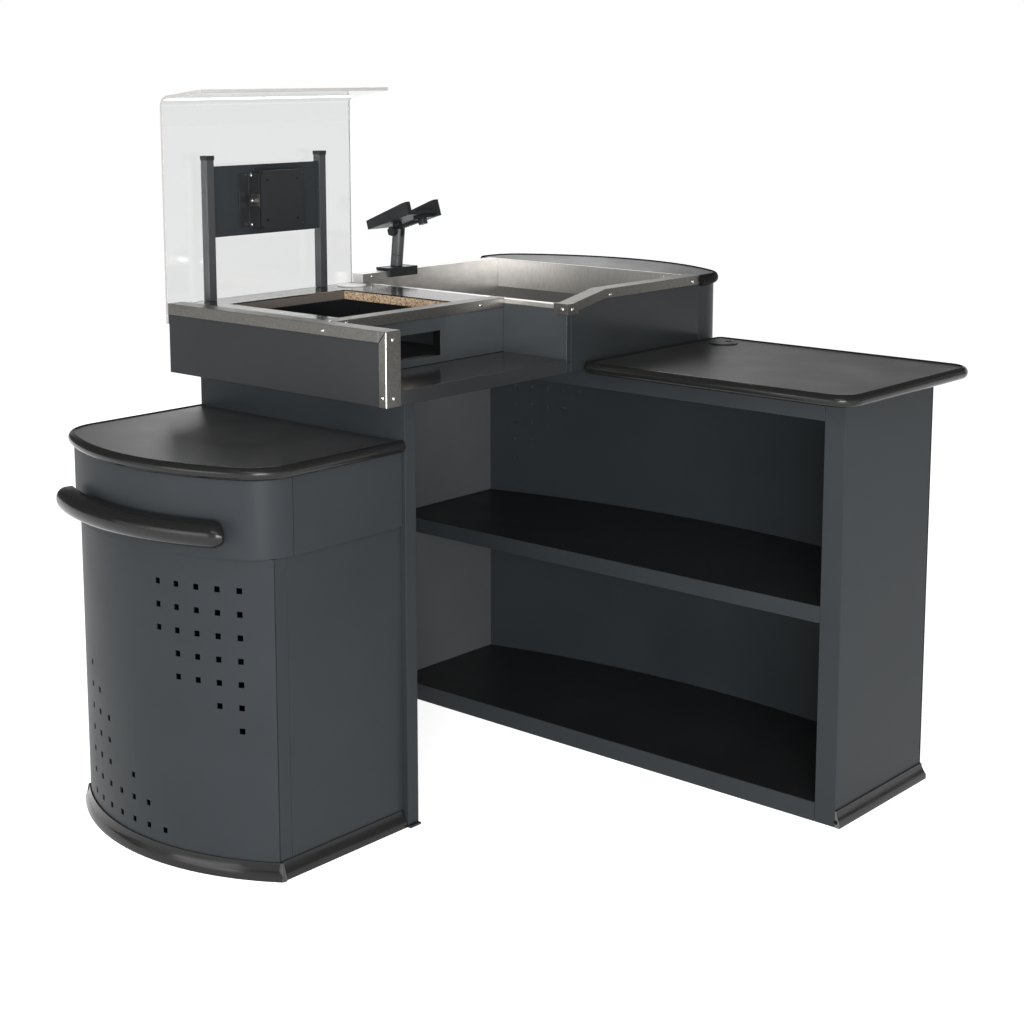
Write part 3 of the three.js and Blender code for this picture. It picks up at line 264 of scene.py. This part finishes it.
def clear_acrylic(name):
    """Clear sheet with faint scuffs."""
    material, tree, shader = new_material(name, (0.79, 0.795, 0.795), 0.03, specular=0.5)
    shader.inputs["Transmission Weight"].default_value = 1
    shader.inputs["IOR"].default_value = ACRYLIC_IOR
    scuffs = object_noise(tree, SCUFFS, detail=6).outputs["Fac"]
    vary_roughness(tree, shader, scuffs, 0.01, 0.06)
    return material


ANTHRACITE = (0.034, 0.039, 0.043)
BLACK_COAT = (0.02, 0.022, 0.024)
LAMINATE_GREY = (0.037, 0.0395, 0.042)
LAMINATE_BLACK = (0.013, 0.013, 0.014)
MOULDING_BLACK = (0.014, 0.0138, 0.0135)
TRIM_STEEL = (0.2, 0.193, 0.18)
SHEET_STEEL = (0.45, 0.44, 0.425)

MATERIALS = {
    "anthracite_coat": powder_coat("anthracite powder coat", ANTHRACITE, 0.42, 0.11),
    "black_steel": powder_coat("black coat", BLACK_COAT, 0.4, 0.3),
    "laminate_grey": powder_coat("dark grey laminate", LAMINATE_GREY, 0.35, 0.12),
    "laminate_black": grained_laminate("black laminate", LAMINATE_BLACK),
    "chipboard": raw_chipboard("chipboard"),
    "black_edging": moulded_plastic("black moulding", MOULDING_BLACK, 0.2, 0.28, (0.2, 0.2, 4), 0.1),
    "black_plastic": moulded_plastic("black plastic", BLACK_COAT, 0.45, 0.3),
    "white_plastic": moulded_plastic("white plastic", (0.78, 0.78, 0.76), 0.35),
    "clear_acrylic": clear_acrylic("clear acrylic"),
    "stainless": speckled_steel("dull stainless", TRIM_STEEL, 0.42, 0.7),
}
# lit and shaded copies of one panel coat: the glossy panel is lighter, painted light on the recess walls;
# the front panel is darker, painted shade
GLOSSY_PANEL_PAINTED_LIGHT = powder_coat("glossy dark panel with painted light", (0.05, 0.056, 0.06), 0.18, 0.5)
FRONT_PANEL_PAINTED_SHADE = powder_coat("front panel with painted shade", (0.027, 0.0305, 0.033), 0.22, 0.2)
GLOSSY_LEDGE = powder_coat("glossy black ledge", (0.03, 0.032, 0.034), 0.14, 0.5)
POLISHED_SKIN = brushed_steel("worktop steel", SHEET_STEEL, 0.15, (20, 1, 20), 0.78)
TRAY_STEEL = brushed_steel("tray steel", (0.68, 0.665, 0.645), 0.3, (20, 1, 3), 0.8, 0.015)
SATIN_TUBE = powder_coat("satin grey tube", (0.075, 0.077, 0.08), 0.3, 0.6)
# much lighter copy of the anthracite coat for the customer wall's shaded inside and the liner's outside:
# painted light
PAINTED_LIGHT_WALL = powder_coat("inner wall coat with painted light", (0.1, 0.106, 0.11), 0.16, 0.4)
# lighter copy of the anthracite coat for the posts: painted light
POST_PAINTED_LIGHT = powder_coat("post coat with painted light", (0.052, 0.056, 0.06), 0.3, 0.5)
# lighter copy of the black laminate for the bagging top: painted light
PAINTED_LIGHT_TOP = grained_laminate("black laminate with painted light", (0.053, 0.053, 0.054), 0.4, 0.48)
# lighter copy of the black laminate for the side board: painted light
SIDE_TOP_PAINTED_LIGHT = grained_laminate("side board laminate with painted light", (0.036, 0.0355, 0.0355), 0.4, 0.48)
FAR_TOP = grained_laminate("far top laminate", LAMINATE_BLACK, 0.44, 0.4)
BRIGHT_SCREW = new_material("screw steel", (0.85, 0.84, 0.82), 0.18, 1.0)[0]
# bright steel on trim edges: painted highlight
PAINTED_HIGHLIGHT_EDGE = new_material("painted highlight edge", (0.7, 0.69, 0.67), 0.25, 1.0)[0]
SAWN_EDGE = new_material("sawn edge in shade", (0.17, 0.15, 0.13), 0.7)[0]
# opaque pale grey edges of the clear screen: painted light
PAINTED_LIGHT_EDGE = new_material("pale acrylic edge with painted light", (0.6, 0.58, 0.56), 0.3)[0]
CUT_MOULDING = moulded_plastic("cut moulding", (0.12, 0.12, 0.118), 0.6, 0.2)
# the liner's grey darkens towards the bottom of the holes: painted shade
LINER_PAINTED_SHADE = painted_shade_sheet("grey liner with painted shade", (0.21, 0.21, 0.21), (0.5, 0.5, 0.5), 0.73, 0.95)
CORNER_PIECE = moulded_plastic("corner piece", (0.03, 0.03, 0.03), 0.2)
# near-black for dark joints, and painted shade in the recess hole, the tray's corner and the plinth end's
# hole
DARK_JOINT_AND_SHADE = moulded_plastic("dark joints and painted shade", (0.004, 0.004, 0.004), 0.6, 0.1)
DULL_EDGING = moulded_plastic("dull black edging", MOULDING_BLACK, 0.5, 0.02)

NODE_MATERIAL = {
    "recess_back_wall": GLOSSY_PANEL_PAINTED_LIGHT,
    "tray_near_wall": GLOSSY_PANEL_PAINTED_LIGHT,
    "tray_front_panel": FRONT_PANEL_PAINTED_SHADE,
    "bagging_top": PAINTED_LIGHT_TOP,
    "side_board": SIDE_TOP_PAINTED_LIGHT,
    "recess_ledge": GLOSSY_LEDGE,
    "worktop_skin": POLISHED_SKIN,
    "worktop_board": MATERIALS["laminate_black"],
    "goods_tray": TRAY_STEEL,
    "far_end_top": FAR_TOP,
    "far_end_edge": DULL_EDGING,
    "customer_wall": PAINTED_LIGHT_WALL,
    "post_left": POST_PAINTED_LIGHT,
    "post_right": POST_PAINTED_LIGHT,
    "cross_plate": MATERIALS["anthracite_coat"],
    "terminal_stem": SATIN_TUBE,
    "terminal_foot": SATIN_TUBE,
}

# Dressed copies of the CAD nodes

SMOOTH_ANGLE = 35  # degrees; flatter edges are shaded smooth
SMOOTH = {"black_edging": 50, "anthracite_coat": 30}  # slots with an angle of their own
BEVEL_ANGLE = 40  # degrees; sharper edges are rounded
BEVEL_SEGMENTS = 2
BEVEL = {  # edge rounding in millimetres by slot; perforated sheets stay sharp
    "anthracite_coat": 1.1,
    "laminate_grey": 0.8,
    "laminate_black": 0.4,
    "stainless": 0.5,
    "black_steel": 0.5,
    "black_plastic": 1.0,
    "clear_acrylic": 0.5,
}
NODE_BEVEL = {"corner_trim": 1.5, "worktop_front_trim": 0.8, "rim_trim": 0.8, "side_top_trim": 0.8}
HIGHLIGHT_TRIMS = {"corner_trim", "worktop_front_trim"}  # trims with a painted highlight along one edge
BEADED = {"bagging_top_edge", "far_end_edge", "side_board_edge"}  # edgings that stand above their board
EDGE_BEAD = 2.5 * MM
SHARP_NODES = {"bagging_front_sheet", "shelf_back", "vesa_plate", "worktop_skin", "pivot_bolt"}
FACING_SHARE = 0.9  # share of a face's normal along an axis that counts as facing that way
LEANING_SHARE = 0.5  # the same for faces that may lean
END_DEPTH = 2 * MM


def faces_front(face):
    return face.normal.y < -FACING_SHARE


def faces_up(face):
    return face.normal.z > FACING_SHARE


def faces_cashier(face):
    return face.normal.x > FACING_SHARE


def is_end(face):
    return abs(face.normal.y) > FACING_SHARE


def is_outermost(node):
    """Test for the faces at the cashier-side end of a node."""
    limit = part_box(node)[1].x - END_DEPTH
    return lambda face: face.center.x > limit


# Faces of a node that differ from the rest of it: a test and their material
FACE_MATERIALS = {
    "worktop_board": [
        (faces_front, MATERIALS["chipboard"]),
        (faces_cashier, SAWN_EDGE),
        # the board's cashier end in the lighter panel copy: painted light
        (is_outermost("worktop_board"), GLOSSY_PANEL_PAINTED_LIGHT),
    ],
    # the recess hole's reveal in near-black: painted shade
    "recess_back_wall": [(faces_front, DARK_JOINT_AND_SHADE), (faces_up, DARK_JOINT_AND_SHADE)],
    # cashier-facing sides in the darker panel copy: painted shade
    "tray_near_wall": [(faces_cashier, FRONT_PANEL_PAINTED_SHADE)],
    "tray_floor_board": [(faces_cashier, FRONT_PANEL_PAINTED_SHADE)],
    "shelf_plinth": [(faces_front, CUT_MOULDING)],
    "screen": [(is_end, PAINTED_LIGHT_EDGE), (is_outermost("screen"), PAINTED_LIGHT_EDGE)],
}


def mark_highlight_edges(work):
    """Weights the edges between a trim's cashier side and its top or front, which get a painted highlight.
    """
    work.normal_update()
    weight = work.edges.layers.float.new("bevel_weight_edge")
    for edge in work.edges:
        normals = [face.normal for face in edge.link_faces]
        to_cashier = any(n.x > FACING_SHARE for n in normals)
        to_top_or_front = any(n.z > LEANING_SHARE or n.y < -LEANING_SHARE for n in normals)
        edge[weight] = float(to_cashier and to_top_or_front)


def welded_mesh(node):
    """The node's mesh with shared corners and whole flat faces."""
    source = frame["nodes"][node].data
    raw = bpy.data.meshes.new(node + "_finish")
    raw.from_pydata([v.co for v in source.vertices], [], [p.vertices[:] for p in source.polygons])
    work = bmesh.new()
    work.from_mesh(raw)
    bmesh.ops.remove_doubles(work, verts=work.verts, dist=WELD)
    if node not in SHARP_NODES:
        bmesh.ops.dissolve_limit(work, angle_limit=FLAT, verts=work.verts, edges=work.edges)
    if node in HIGHLIGHT_TRIMS:
        mark_highlight_edges(work)
    work.to_mesh(raw)
    work.free()
    return raw


def raise_bead(mesh):
    """Stretches an edging upwards, so that it stands a little above its board."""
    heights = [vertex.co.z for vertex in mesh.vertices]
    low, high = min(heights), max(heights)
    stretch = 1 + EDGE_BEAD / (high - low)
    for vertex in mesh.vertices:
        vertex.co.z = low + (vertex.co.z - low) * stretch


def link(obj, body):
    """Adds a piece to the scene on a CAD body."""
    bpy.context.scene.collection.objects.link(obj)
    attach(obj, body)
    return obj


def round_edges(piece, name, width, limit):
    """Bevel of the edges that the limit picks."""
    bevel = piece.modifiers.new(name, "BEVEL")
    bevel.width = width
    bevel.segments = BEVEL_SEGMENTS
    bevel.limit_method = limit
    bevel.angle_limit = math.radians(BEVEL_ANGLE)
    bevel.harden_normals = True
    return bevel


def dress(node):
    """A smooth, edge-rounded copy of a CAD node in its own material, shown instead of the node."""
    slot = slot_of[node]
    mesh = welded_mesh(node)
    if node in BEADED:
        raise_bead(mesh)
    mesh.materials.append(NODE_MATERIAL.get(node, MATERIALS[slot]))
    for index, (chosen, material) in enumerate(FACE_MATERIALS.get(node, []), start=1):
        mesh.materials.append(material)
        for face in filter(chosen, mesh.polygons):
            face.material_index = index
    mesh.polygons.foreach_set("use_smooth", [True] * len(mesh.polygons))
    mesh.set_sharp_from_angle(angle=math.radians(SMOOTH.get(slot, SMOOTH_ANGLE)))
    piece = link(bpy.data.objects.new(mesh.name, mesh), body_of[node])
    if slot in BEVEL and node not in SHARP_NODES:
        width = NODE_BEVEL.get(node, BEVEL[slot]) * MM
        if node in HIGHLIGHT_TRIMS:
            # the weighted edges get the painted highlight material
            mesh.materials.append(PAINTED_HIGHLIGHT_EDGE)
            highlight_bevel = round_edges(piece, "painted highlight edges", width, "WEIGHT")
            highlight_bevel.material = len(mesh.materials) - 1
        round_edges(piece, "rounded edges", width, "ANGLE")
    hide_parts(node)


for node_name in sorted(frame["nodes"]):
    dress(node_name)

# Small fittings that the CAD leaves out

SCREW_RADIUS = 3.8 * MM
SCREW_HEIGHT = 1.8 * MM
SCREW_SIDES, SCREW_RINGS = 20, 12
CAP_HEIGHT = 5 * MM
CAP_LAP = 3 * MM  # how far a cap reaches down the post
CAP_OVERHANG = 0.7 * MM
SEAM_WIDTH = 0.7 * MM
SEAM_PROUD = 0.1 * MM  # how far a seam stands out, to show on its face
MITRE_WIDTH = 1.6 * MM  # dark joint between two angles
CORNER_FOOT = 9 * MM  # radius of the plinth's corner piece at the floor
CORNER_HEAD = 3 * MM
CORNER_SIDES = 32
CORNER_SHARP = 40  # degrees
LINER_GAP = 3 * MM  # behind the perforated back
LINER_SHEET = 1 * MM
LINER_STEPS = 24
BAND_SEAM = 0.34  # place of the band's joint along its length, as a fraction
PLINTH_HOLE = (0.993, 0.5466, 0.33)  # place of a dark dot on the cut end of the shelf plinth: painted shade in its hole
TRAY_RIM = 30 * MM  # tray's inside from its customer side
TRAY_FAR_RIM = 5.7 * MM  # tray's inside from its far side
TRAY_LIP = 60 * MM  # upright part of the tray's far wall
FACING = {"+x": (1, 0, 0), "-y": (0, -1, 0), "+z": (0, 0, 1)}

# Domed screws: the node they sit on, the side they face, and their place in the node's box as fractions
SCREWS = [
    ("corner_trim", "+x", (1, 0.46, 0.89)),
    ("corner_trim", "+x", (1, 0.51, 0.12)),
    ("corner_trim", "-y", (0.42, 0, 0.13)),
    ("side_top_trim", "-y", (0.756, 0, 0.44)),
    ("side_top_trim", "+z", (0.734, 0.8, 1)),
    ("worktop_front_trim", "+x", (1, 0.847, 0.53)),
    ("worktop_front_trim", "+x", (1, 0.055, 0.74)),
    ("rim_trim", "-y", (0.61, 0, 0.27)),
    ("rim_trim", "+x", (1, 0.032, 0.265)),
    ("rim_trim", "+x", (0.95, 0.304, 0.705)),
    ("rim_trim", "+x", (0.95, 0.938, 0.737)),
    ("goods_tray", "+x", (0.054, 0.066, 0.94)),
    ("goods_tray", "-y", (0.851, 0.984, 0.94)),
    ("tilt_bracket", "-y", (0.25, 0.92, 0.96)),
    ("tilt_bracket", "-y", (0.25, 0.92, 0.04)),
    ("pivot_bolt", "-y", (0.5, 0, 0.5)),
    ("worktop_skin", "+z", (0.038, 0.026, 1)),
    ("worktop_skin", "+z", (0.034, 0.044, 1)),
]


def mesh_piece(name, work, material, body, smooth=True):
    """A finished mesh as a piece of the object."""
    mesh = bpy.data.meshes.new(name)
    work.to_mesh(mesh)
    work.free()
    mesh.materials.append(material)
    mesh.polygons.foreach_set("use_smooth", [smooth] * len(mesh.polygons))
    return link(bpy.data.objects.new(name, mesh), body)


def domed_screw(name, node, facing, fractions, material=BRIGHT_SCREW):
    """Screw head, half sunk in the face that it sits on."""
    low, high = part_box(node)
    place = Vector([a + (b - a) * f for a, b, f in zip(low, high, fractions)])
    work = bmesh.new()
    bmesh.ops.create_uvsphere(
        work, u_segments=SCREW_SIDES, v_segments=SCREW_RINGS, radius=SCREW_RADIUS
    )
    bmesh.ops.scale(work, verts=work.verts, vec=(1, 1, SCREW_HEIGHT / SCREW_RADIUS))
    turn = Vector(FACING[facing]).to_track_quat("Z", "Y").to_matrix()
    bmesh.ops.rotate(work, verts=work.verts, matrix=turn)
    bmesh.ops.translate(work, verts=work.verts, vec=place)
    mesh_piece(name, work, material, body_of[node])


def block(name, low, high, material, node):
    """Box between two corners, on the body of a node."""
    work = bmesh.new()
    bmesh.ops.create_cube(work, size=1)
    bmesh.ops.scale(work, verts=work.verts, vec=high - low)
    bmesh.ops.translate(work, verts=work.verts, vec=(high + low) / 2)
    mesh_piece(name, work, material, body_of[node], False)


def post_cap(node):
    """Plastic cap over the top end of a post."""
    low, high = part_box(node)
    rim = Vector((CAP_OVERHANG, CAP_OVERHANG, 0))
    bottom = Vector((low.x, low.y, high.z - CAP_LAP)) - rim
    top = high + rim + Vector((0, 0, CAP_HEIGHT))
    block(node + "_cap", bottom, top, MATERIALS["black_plastic"], node)


def band_seam(name, x, out):
    """Upright joint in the band on one straight side, where its bowed part ends."""
    low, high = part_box("bagging_band")
    y = low.y + (high.y - low.y) * BAND_SEAM
    bottom = Vector((min(x, x + out), y, low.z))
    top = Vector((max(x, x + out), y + SEAM_WIDTH, high.z))
    block(name, bottom, top, DARK_JOINT_AND_SHADE, "bagging_band")


def tray_corner_shade():
    """Dark strip in the upright corner of the goods tray: painted shade along the crease."""
    low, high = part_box("goods_tray")
    corner = Vector((low.x + TRAY_RIM, high.y - TRAY_FAR_RIM, high.z))
    bottom = corner + Vector((-SEAM_WIDTH, -SEAM_WIDTH / 2, -TRAY_LIP))
    top = corner + Vector((SEAM_WIDTH / 2, SEAM_WIDTH, 0))
    block("tray_corner_painted_shade", bottom, top, DARK_JOINT_AND_SHADE, "goods_tray")


def trim_mitre():
    """Diagonal joint where the side panel's top angle meets the corner angle."""
    low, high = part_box("corner_trim")
    inner = Vector((low.x, low.y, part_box("side_top_trim")[0].z))
    outer = Vector((high.x, low.y, high.z))
    work = bmesh.new()
    bmesh.ops.create_cube(work, size=1)
    bmesh.ops.scale(work, verts=work.verts, vec=(MITRE_WIDTH, SEAM_PROUD * 2, (outer - inner).length))
    lean = math.atan2(outer.x - inner.x, outer.z - inner.z)
    bmesh.ops.rotate(work, verts=work.verts, matrix=Matrix.Rotation(lean, 3, "Y"))
    bmesh.ops.translate(work, verts=work.verts, vec=(inner + outer) / 2)
    mesh_piece("trim_mitre", work, DARK_JOINT_AND_SHADE, body_of["corner_trim"], False)


def plinth_corner(name, side):
    """Round corner piece where the bowed plinth meets a straight one; side is 1 or -1."""
    low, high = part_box("bagging_plinth")
    outward = Vector((side, -1, 0)).normalized()
    points = [v.co for v in frame["nodes"]["bagging_plinth"].data.vertices]
    corner = max(points, key=lambda point: point.dot(outward))
    height = high.z - low.z
    work = bmesh.new()
    bmesh.ops.create_cone(
        work,
        cap_ends=True,
        segments=CORNER_SIDES,
        radius1=CORNER_FOOT,
        radius2=CORNER_HEAD,
        depth=height,
    )
    middle = Vector((corner.x, corner.y, low.z + height / 2)) - outward * CORNER_FOOT
    bmesh.ops.translate(work, verts=work.verts, vec=middle)
    piece = mesh_piece(name, work, CORNER_PIECE, body_of["bagging_plinth"])
    piece.data.set_sharp_from_angle(angle=math.radians(CORNER_SHARP))


def back_liner():
    """Sheet close behind the curved shelf back: grey where it shows through the holes, with painted shade
    darker towards the bottom; outside, a lighter coat with painted light.
    """
    low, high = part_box("shelf_back")
    chord, sag = high.x - low.x, high.y - low.y
    radius = (chord * chord / 4 + sag * sag) / (2 * sag)
    centre = Vector(((low.x + high.x) / 2, high.y - radius, 0))
    reach = math.asin(chord / 2 / radius)
    work = bmesh.new()
    rows = []
    for step in range(LINER_STEPS + 1):
        angle = reach * (2 * step / LINER_STEPS - 1)
        out = Vector((math.sin(angle), math.cos(angle), 0)) * (radius + LINER_GAP)
        rows.append([work.verts.new(centre + out + Vector((0, 0, z))) for z in (low.z, high.z)])
    for a, b in zip(rows, rows[1:]):
        work.faces.new((a[0], a[1], b[1], b[0]))
    bmesh.ops.solidify(work, geom=work.faces[:], thickness=LINER_SHEET)
    bmesh.ops.recalc_face_normals(work, faces=work.faces)
    liner = mesh_piece("shelf_back_liner", work, LINER_PAINTED_SHADE, body_of["shelf_back"])
    # outer face in the lighter coat: painted light where the back lies in shade
    liner.data.materials.append(PAINTED_LIGHT_WALL)
    for face in liner.data.polygons:
        face.material_index = int(face.normal.y > 0)


for number, screw in enumerate(SCREWS, start=1):
    domed_screw(f"screw_{number:02d}", *screw)
# near-black dome on the plinth's cut end: painted shade of a hole
domed_screw("plinth_end_hole_shade", "shelf_plinth", "-y", PLINTH_HOLE, DARK_JOINT_AND_SHADE)
tray_corner_shade()
trim_mitre()
post_cap("post_left")
post_cap("post_right")
band_low, band_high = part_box("bagging_band")
band_seam("band_seam_right", band_high.x, SEAM_PROUD)
band_seam("band_seam_left", band_low.x, -SEAM_PROUD)
plinth_corner("plinth_corner_right", 1)
plinth_corner("plinth_corner_left", -1)
back_liner()


# Stage, light and camera

FLOOR_SIZE = 60
FLOOR_WHITE = (0.86, 0.86, 0.86)
FLOOR_GLOW = 0.78
DOME = 0.28  # strength of the light from all round
CARDS = {  # name: size, place, turn in degrees, glow
    "ceiling": (20, (0, 0, 3), (0, 0, 0), 0.1),
    "left flag": (7, (-6, -2.5, 3.5), (0, 90, 0), 0.1),
    "right flag": (7, (5, 5, 1), (0, 90, 45), 0.3),
    "back flag": (6, (-8, 3.6, 2), (0, 90, -45), 0.4),
}
LAMPS = {  # name: place, size, watts
    "front": ((2.8, -2.6, 0.9), (1.6, 1.2), 110),
    "key": ((1.6, -2.6, 3.2), (2.5, 2.5), 60),
    "low fill": ((-0.8, -3.8, 0.8), (2.0, 1.0), 20),
    "back": ((-2.6, 2.4, 2.6), (2.0, 2.0), 40),
}


def softbox(name, target, place, size, power):
    """Rectangular lamp that looks at a point."""
    lamp = bpy.data.lights.new(name, "AREA")
    lamp.shape = "RECTANGLE"
    lamp.size, lamp.size_y = size
    lamp.energy = power
    holder = bpy.data.objects.new(name, lamp)
    holder.location = place
    holder.rotation_euler = (target - holder.location).to_track_quat("-Z", "Y").to_euler()
    bpy.context.scene.collection.objects.link(holder)


def plane(name, size, material, place=(0, 0, 0)):
    """Square of the stage, which isn't part of the object."""
    mesh = bpy.data.meshes.new(name)
    half = size / 2
    corners = [(-half, -half, 0), (half, -half, 0), (half, half, 0), (-half, half, 0)]
    mesh.from_pydata(corners, [], [(0, 1, 2, 3)])
    mesh.materials.append(material)
    obj = bpy.data.objects.new(name, mesh)
    obj.location = place
    bpy.context.scene.collection.objects.link(obj)
    return obj


def seen_directly(tree):
    """1 for camera, glossy and transmission rays."""
    path = tree.nodes.new("ShaderNodeLightPath")
    total = path.outputs["Is Camera Ray"]
    for name in ("Is Glossy Ray", "Is Transmission Ray"):
        larger = tree.nodes.new("ShaderNodeMath")
        larger.operation = "MAXIMUM"
        tree.links.new(total, larger.inputs[0])
        tree.links.new(path.outputs[name], larger.inputs[1])
        total = larger.outputs[0]
    return total


def make_floor():
    """White floor that keeps the soft shadow; a little glow lifts it to white where it is seen."""
    material, tree, shader = new_material("floor", FLOOR_WHITE, 0.9, specular=0.0)
    glow = tree.nodes.new("ShaderNodeMath")
    glow.operation = "MULTIPLY"
    glow.inputs[1].default_value = FLOOR_GLOW
    tree.links.new(seen_directly(tree), glow.inputs[0])
    shader.inputs["Emission Color"].default_value = (1, 1, 1, 1)
    tree.links.new(glow.outputs[0], shader.inputs["Emission Strength"])
    plane("floor", FLOOR_SIZE, material)


def dim_card(name, size, place, turn, glow):
    """Card that only glossy surfaces see; it keeps them from mirroring white on that side."""
    material, _, shader = new_material(name, (0, 0, 0), 1, specular=0.0)
    shader.inputs["Emission Color"].default_value = (1, 1, 1, 1)
    shader.inputs["Emission Strength"].default_value = glow
    card = plane(name, size, material, place)
    card.rotation_euler = [math.radians(angle) for angle in turn]
    card.visible_camera = False
    card.visible_diffuse = False
    card.visible_transmission = False
    card.visible_shadow = False


def make_world():
    """White surroundings where they are seen, and a plain dome of light."""
    world = bpy.data.worlds.new("studio")
    bpy.context.scene.world = world
    world.use_nodes = True
    tree = world.node_tree
    background = tree.nodes["Background"]
    background.inputs["Color"].default_value = (1, 1, 1, 1)
    strength = tree.nodes.new("ShaderNodeMapRange")
    strength.inputs["To Min"].default_value = DOME
    strength.inputs["To Max"].default_value = 1
    tree.links.new(seen_directly(tree), strength.inputs["Value"])
    tree.links.new(strength.outputs["Result"], background.inputs["Strength"])


middle = (cad_box[0] + cad_box[1]) / 2
make_floor()
make_world()
for card_name, card_setup in CARDS.items():
    dim_card(card_name, *card_setup)
for lamp_name, lamp_setup in LAMPS.items():
    softbox(lamp_name, middle, *lamp_setup)

camera_data = bpy.data.cameras.new("photo camera")
camera_data.sensor_width = SENSOR
camera_data.lens = FOCAL_PIXELS / IMAGE * SENSOR
camera_data.shift_y = CAMERA_SHIFT
camera = bpy.data.objects.new("photo camera", camera_data)
camera.location = CAMERA_PLACE
yaw, pitch = math.radians(CAMERA_YAW), math.radians(CAMERA_PITCH)
camera.rotation_euler = (math.pi / 2 - pitch, 0, yaw)
bpy.context.scene.collection.objects.link(camera)
bpy.context.scene.camera = camera
bpy.context.scene.view_settings.view_transform = "Standard"
